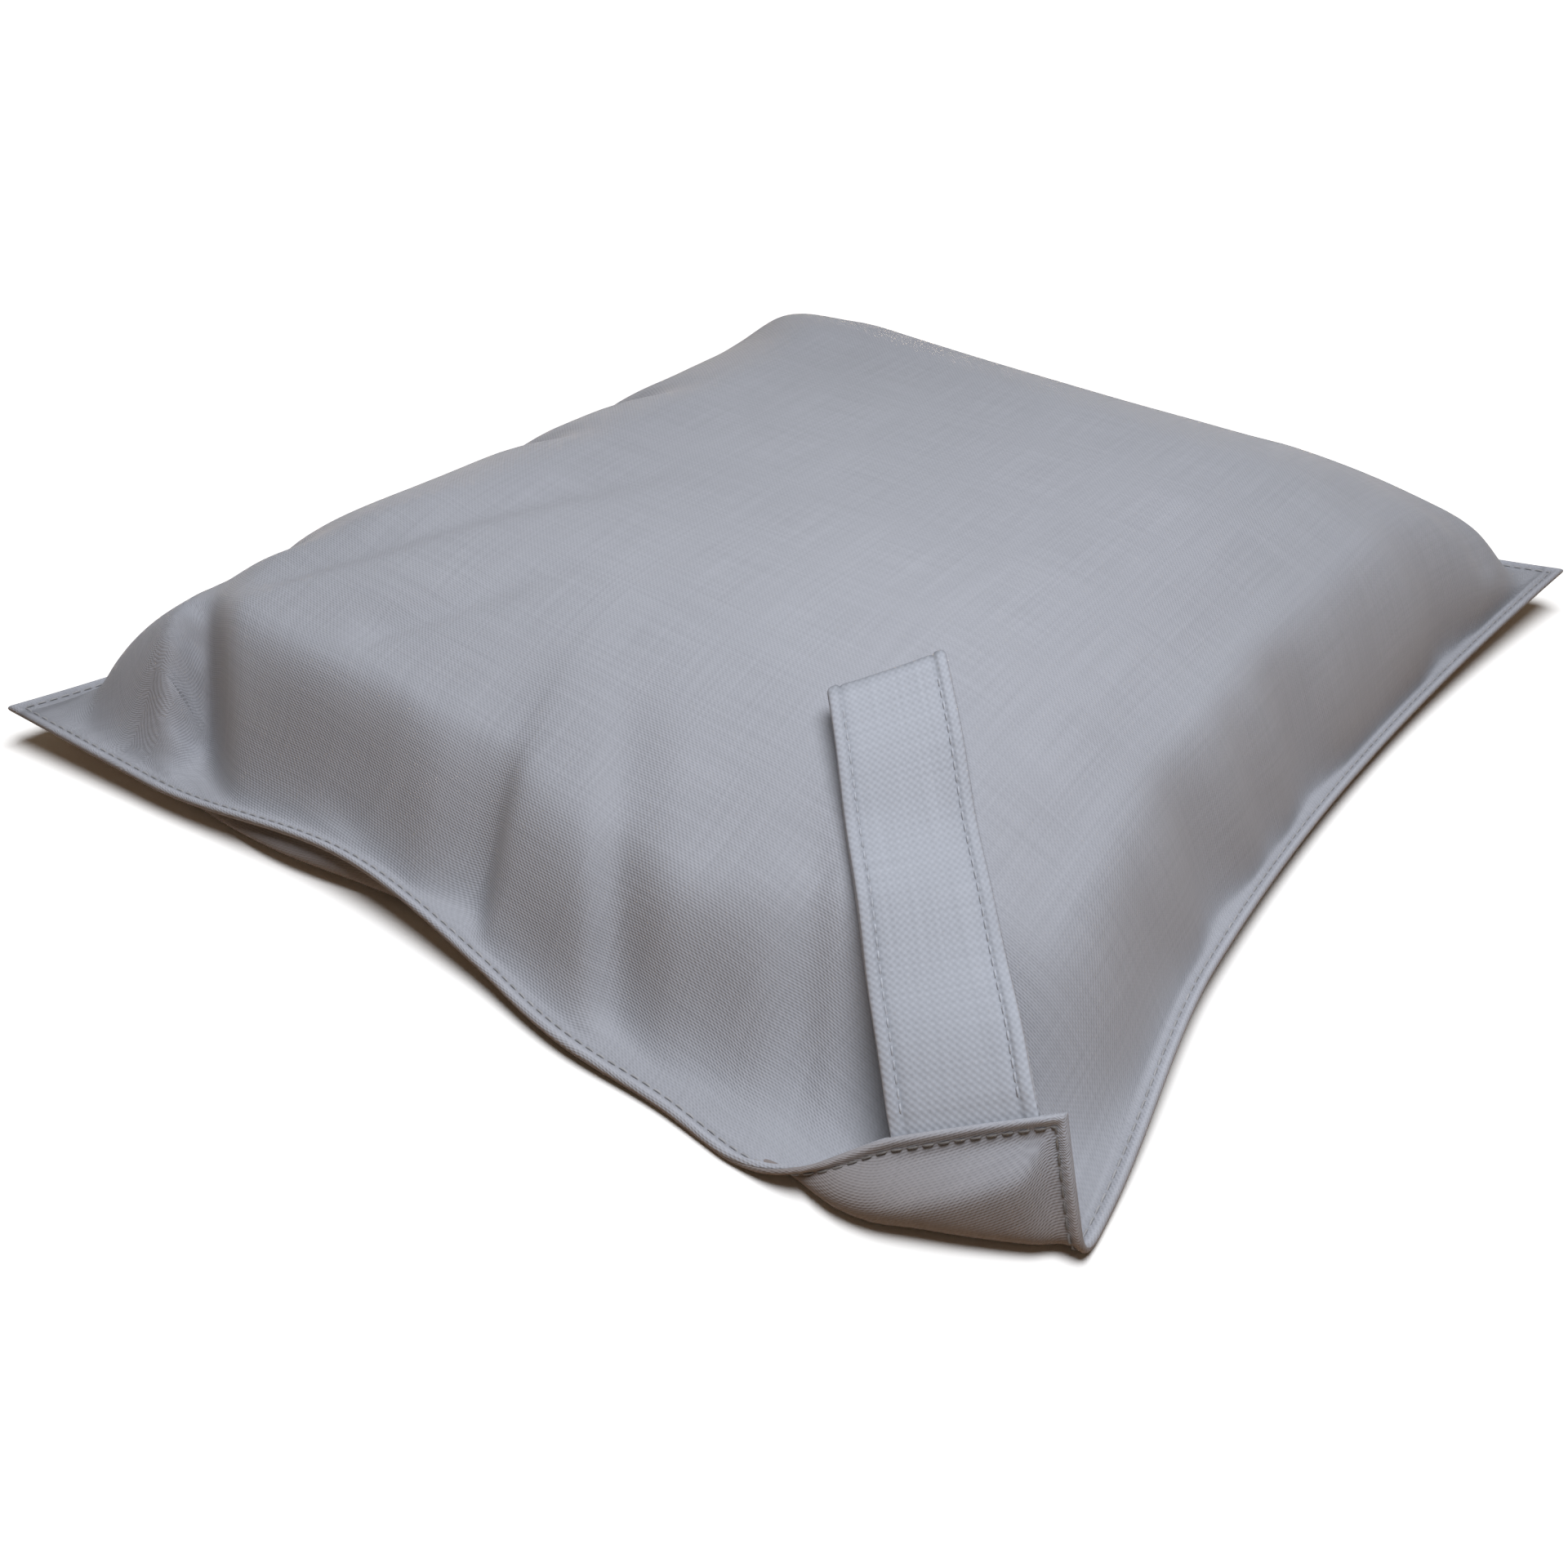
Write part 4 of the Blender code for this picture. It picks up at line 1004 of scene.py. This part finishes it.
def woven(name, colour, weave, diamond, painted_floor_shade=False):
    """Woven cloth on the cut piece's own map in metres: a twill or diamond weave, slubs along both
    threads, slow changes of shade, painted highlights on crests and painted shade in grooves and on folds,
    and, if asked, painted shade that darkens and browns it towards the floor."""
    pitch, contrast, relief = weave
    material, tree, shader = new_material(name, CLOTH_ROUGHNESS)
    cut = node(tree, "UVMap", uv_map="cut").outputs[0]
    split = node(tree, "SeparateXYZ")
    tree.links.new(cut, split.inputs[0])
    turn = 2.0 * np.pi / pitch
    u = math(tree, "MULTIPLY", split.outputs["X"], turn)
    v = math(tree, "MULTIPLY", split.outputs["Y"], turn)
    if diamond:
        weave_height = math(tree, "MULTIPLY", math(tree, "SINE", u), math(tree, "SINE", v))
    else:
        rising = math(tree, "SINE", math(tree, "ADD", u, v))
        threads = math(tree, "SINE", math(tree, "MULTIPLY", v, 2.0))
        threads = math(tree, "MULTIPLY", threads, TWILL_THREADS)
        weave_height = math(tree, "MULTIPLY_ADD", rising, TWILL_RISE, threads)
    warp = stretched_noise(tree, cut, (SLUBS_ACROSS, SLUBS_ALONG, 1.0), SLUB_DETAIL)
    weft = stretched_noise(tree, cut, (SLUBS_ALONG, SLUBS_ACROSS, 1.0), SLUB_DETAIL)
    slow = stretched_noise(tree, cut, (SLOW_SCALE, SLOW_SCALE, 1.0), SLOW_DETAIL)
    slubs = math(tree, "ADD", warp, weft)
    # Painted highlights and painted shade, read from the point attribute
    painted_highlight_and_shade = node(tree, "Attribute", attribute_name="painted_highlight_and_shade").outputs["Fac"]
    shade = math(tree, "MULTIPLY_ADD", weave_height, contrast, 1.0)
    for unevenness, strength in ((slubs, SLUB_SHADE), (slow, SLOW_SHADE), (painted_highlight_and_shade, PAINTED_LIGHT_STRENGTH)):
        shade = math(tree, "MULTIPLY_ADD", unevenness, strength, shade)
    finish = tinted(tree, colour, shade)
    # Painted shade: darker and browner towards the floor
    if painted_floor_shade:
        finish = shaded_near_floor(tree, finish)
    tree.links.new(finish, shader.inputs["Base Color"])
    height = math(tree, "MULTIPLY_ADD", slubs, SLUB_RELIEF, weave_height)
    bump = node(tree, "Bump")
    bump.inputs["Distance"].default_value = relief
    tree.links.new(height, bump.inputs["Height"])
    tree.links.new(bump.outputs[0], shader.inputs["Normal"])
    shader.inputs["Sheen Weight"].default_value = CLOTH_SHEEN
    shader.inputs["Sheen Roughness"].default_value = CLOTH_SHEEN_ROUGHNESS
    shader.inputs["Specular IOR Level"].default_value = CLOTH_SPECULAR
    return material


def cloudy(name, colour, finish):
    """Material whose shade changes from place to place by a noise on its own coordinates."""
    roughness, scale, detail, contrast = finish
    material, tree, shader = new_material(name, roughness)
    place = node(tree, "TexCoord").outputs["Object"]
    uneven = stretched_noise(tree, place, (scale, scale, scale), detail)
    shade = math(tree, "MULTIPLY_ADD", uneven, contrast, 1.0)
    tree.links.new(tinted(tree, colour, shade), shader.inputs["Base Color"])
    return material, shader


def twisted_thread(name, colour):
    """Sewing thread: its shade changes from stitch to stitch."""
    material, shader = cloudy(name, colour, THREAD_FINISH)
    shader.inputs["Sheen Weight"].default_value = THREAD_SHEEN
    return material


def loose_fibre(name, colour):
    """Off-white fibre of the hidden filling, cloudy."""
    return cloudy(name, colour, FIBRE_FINISH)[0]


def seen_share(tree):
    """1 for what the camera sees, also in a mirror or through glass, and 0 for light that bounces."""
    rays = node(tree, "LightPath").outputs
    seen = math(tree, "MAXIMUM", rays["Is Camera Ray"], rays["Is Glossy Ray"])
    return math(tree, "MAXIMUM", seen, rays["Is Transmission Ray"])


def seen_or_bounced(tree, seen, bounced, output):
    """Output of one shader for what the camera sees and of another for light that bounces."""
    mix = node(tree, "MixShader")
    tree.links.new(seen_share(tree), mix.inputs["Fac"])
    tree.links.new(bounced.outputs[0], mix.inputs[1])
    tree.links.new(seen.outputs[0], mix.inputs[2])
    tree.links.new(mix.outputs[0], tree.nodes[output].inputs["Surface"])


def floor_finish():
    """White floor that keeps the shadow, paler away from the lamp by as much as the lamp's light falls
    off, which is the square of 1 plus the square of the distance over the lamp's height; the light that
    it throws back is brown."""
    material = bpy.data.materials.new("floor_white")
    material.use_nodes = True
    tree = material.node_tree
    tree.nodes.remove(tree.nodes["Principled BSDF"])
    bounce = node(tree, "BsdfDiffuse")
    bounce.inputs["Color"].default_value = (*FLOOR_BOUNCE, 1.0)
    white = node(tree, "BsdfDiffuse")
    away = node(tree, "VectorMath", operation="DISTANCE")
    tree.links.new(node(tree, "TexCoord").outputs["Object"], away.inputs[0])
    away.inputs[1].default_value = (KEY_PLACE[0], KEY_PLACE[1], 0.0)
    share = math(tree, "POWER", math(tree, "DIVIDE", away.outputs["Value"], KEY_PLACE[2]), 2.0)
    gain = math(tree, "MULTIPLY", math(tree, "POWER", math(tree, "ADD", share, 1.0), 2.0), FLOOR_GAIN)
    tree.links.new(tinted(tree, FLOOR_WHITE, gain), white.inputs["Color"])
    seen_or_bounced(tree, white, bounce, "Material Output")
    return material


def key_light():
    """Broad round lamp overhead, near enough for its light to fall off towards the far and left corners."""
    lamp = bpy.data.lights.new("key", "AREA")
    lamp.shape = "DISK"
    lamp.size = KEY_SIZE
    lamp.energy = KEY_POWER
    lamp.color = KEY_COLOUR
    item = bpy.data.objects.new("key", lamp)
    item.location = KEY_PLACE
    bpy.context.scene.collection.objects.link(item)


def studio_world():
    """World that looks white and lights the sack with a weak warm light from all around."""
    world = bpy.data.worlds.new("studio")
    bpy.context.scene.world = world
    world.use_nodes = True
    tree = world.node_tree
    ambient = tree.nodes["Background"]
    ambient.inputs["Color"].default_value = (*AMBIENT, 1.0)
    ambient.inputs["Strength"].default_value = AMBIENT_STRENGTH
    white = node(tree, "Background")
    white.inputs["Color"].default_value = (*WORLD_WHITE, 1.0)
    seen_or_bounced(tree, white, ambient, "World Output")


def photo_camera():
    """Camera at its place, its axes worked out from azimuth, elevation and roll."""
    lens = bpy.data.cameras.new("camera")
    lens.lens = CAMERA_LENS
    lens.sensor_width = CAMERA_SENSOR
    lens.clip_start = CAMERA_NEAR
    camera = bpy.data.objects.new("camera", lens)
    flat = np.cos(CAMERA_ELEVATION)
    back = np.array([np.sin(CAMERA_AZIMUTH) * flat, -np.cos(CAMERA_AZIMUTH) * flat, np.sin(CAMERA_ELEVATION)])
    right = np.array([np.cos(CAMERA_AZIMUTH), np.sin(CAMERA_AZIMUTH), 0.0])
    up = np.cross(back, right)
    tilted_right = right * np.cos(CAMERA_ROLL) + up * np.sin(CAMERA_ROLL)
    tilted_up = up * np.cos(CAMERA_ROLL) - right * np.sin(CAMERA_ROLL)
    axes = np.stack([tilted_right, tilted_up, back], 1)
    camera.matrix_world = Matrix([[*row, CAMERA_PLACE[k]] for k, row in enumerate(axes)] + [[0, 0, 0, 1]])
    bpy.context.scene.collection.objects.link(camera)
    bpy.context.scene.camera = camera


def build_stage():
    """White floor, white world, one soft lamp and the camera at the photograph's angle."""
    bpy.ops.mesh.primitive_plane_add(size=FLOOR_SIZE, location=(0.0, 0.0, -FLOOR_DROP))
    floor = bpy.context.object
    floor.name = "floor"
    floor.data.materials.append(floor_finish())
    studio_world()
    key_light()
    photo_camera()
    bpy.context.scene.view_settings.view_transform = "Standard"


def main():
    """Dress the sack: panels, filling, stitches, pull loop, then the stage."""
    p, q, upper, lower = panel_grids()
    cloth = woven("satin_cloth", PANEL_COLOUR, PANEL_WEAVE, False)
    # The lower panel gets painted shade, darker and browner towards the floor
    under_cloth = woven("satin_cloth_under", PANEL_COLOUR, PANEL_WEAVE, False, painted_floor_shade=True)
    strip_cloth = woven("strip_cloth", STRIP_COLOUR, STRIP_WEAVE, True)
    thread = twisted_thread("needle_thread", NEEDLE_COLOUR)
    bobbin_thread = twisted_thread("bobbin_thread", BOBBIN_COLOUR)
    strip_thread = twisted_thread("strip_thread", STRIP_THREAD_COLOUR)
    stuffing = loose_fibre("loose_fibre", FILLING_COLOUR)

    top = add_panel("upper_panel_cloth", upper, p, q, False)
    bottom = add_panel("lower_panel_cloth", lower, p, q, True)
    filling = build_filling(p, q, upper, lower)
    needle = add_mesh(
        "edge_needle_stitches",
        *stitches(around(upper, STITCH_LINE), around(normals(upper), STITCH_LINE), EDGE_STITCH_PITCH, True),
    )
    bobbin = add_mesh(
        "edge_bobbin_stitches",
        *stitches(around(lower, STITCH_LINE), -around(normals(lower), STITCH_LINE), EDGE_STITCH_PITCH, True),
    )
    strip, (left_row, right_row) = build_loop(p, q, upper)

    for item, material, slot, replaced in (
        (top, cloth, "panel_cloth", "upper_panel"),
        (bottom, under_cloth, "panel_cloth", "lower_panel"),
        (filling, stuffing, "filling", "filling"),
        (needle, thread, "thread", "edge_needle_thread"),
        (bobbin, bobbin_thread, "thread", "edge_bobbin_thread"),
    ):
        item.data.materials.append(material)
        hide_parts(replaced)
        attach(item, "sack")

    for item, material, slot, replaced in (
        (strip, strip_cloth, "loop_cloth", ("pull_loop", "loop_tail")),
        (left_row, strip_thread, "thread", ("loop_left_thread",)),
        (right_row, strip_thread, "thread", ("loop_right_thread",)),
    ):
        item.data.materials.append(material)
        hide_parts(*replaced)
        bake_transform(item)

    build_stage()


main()
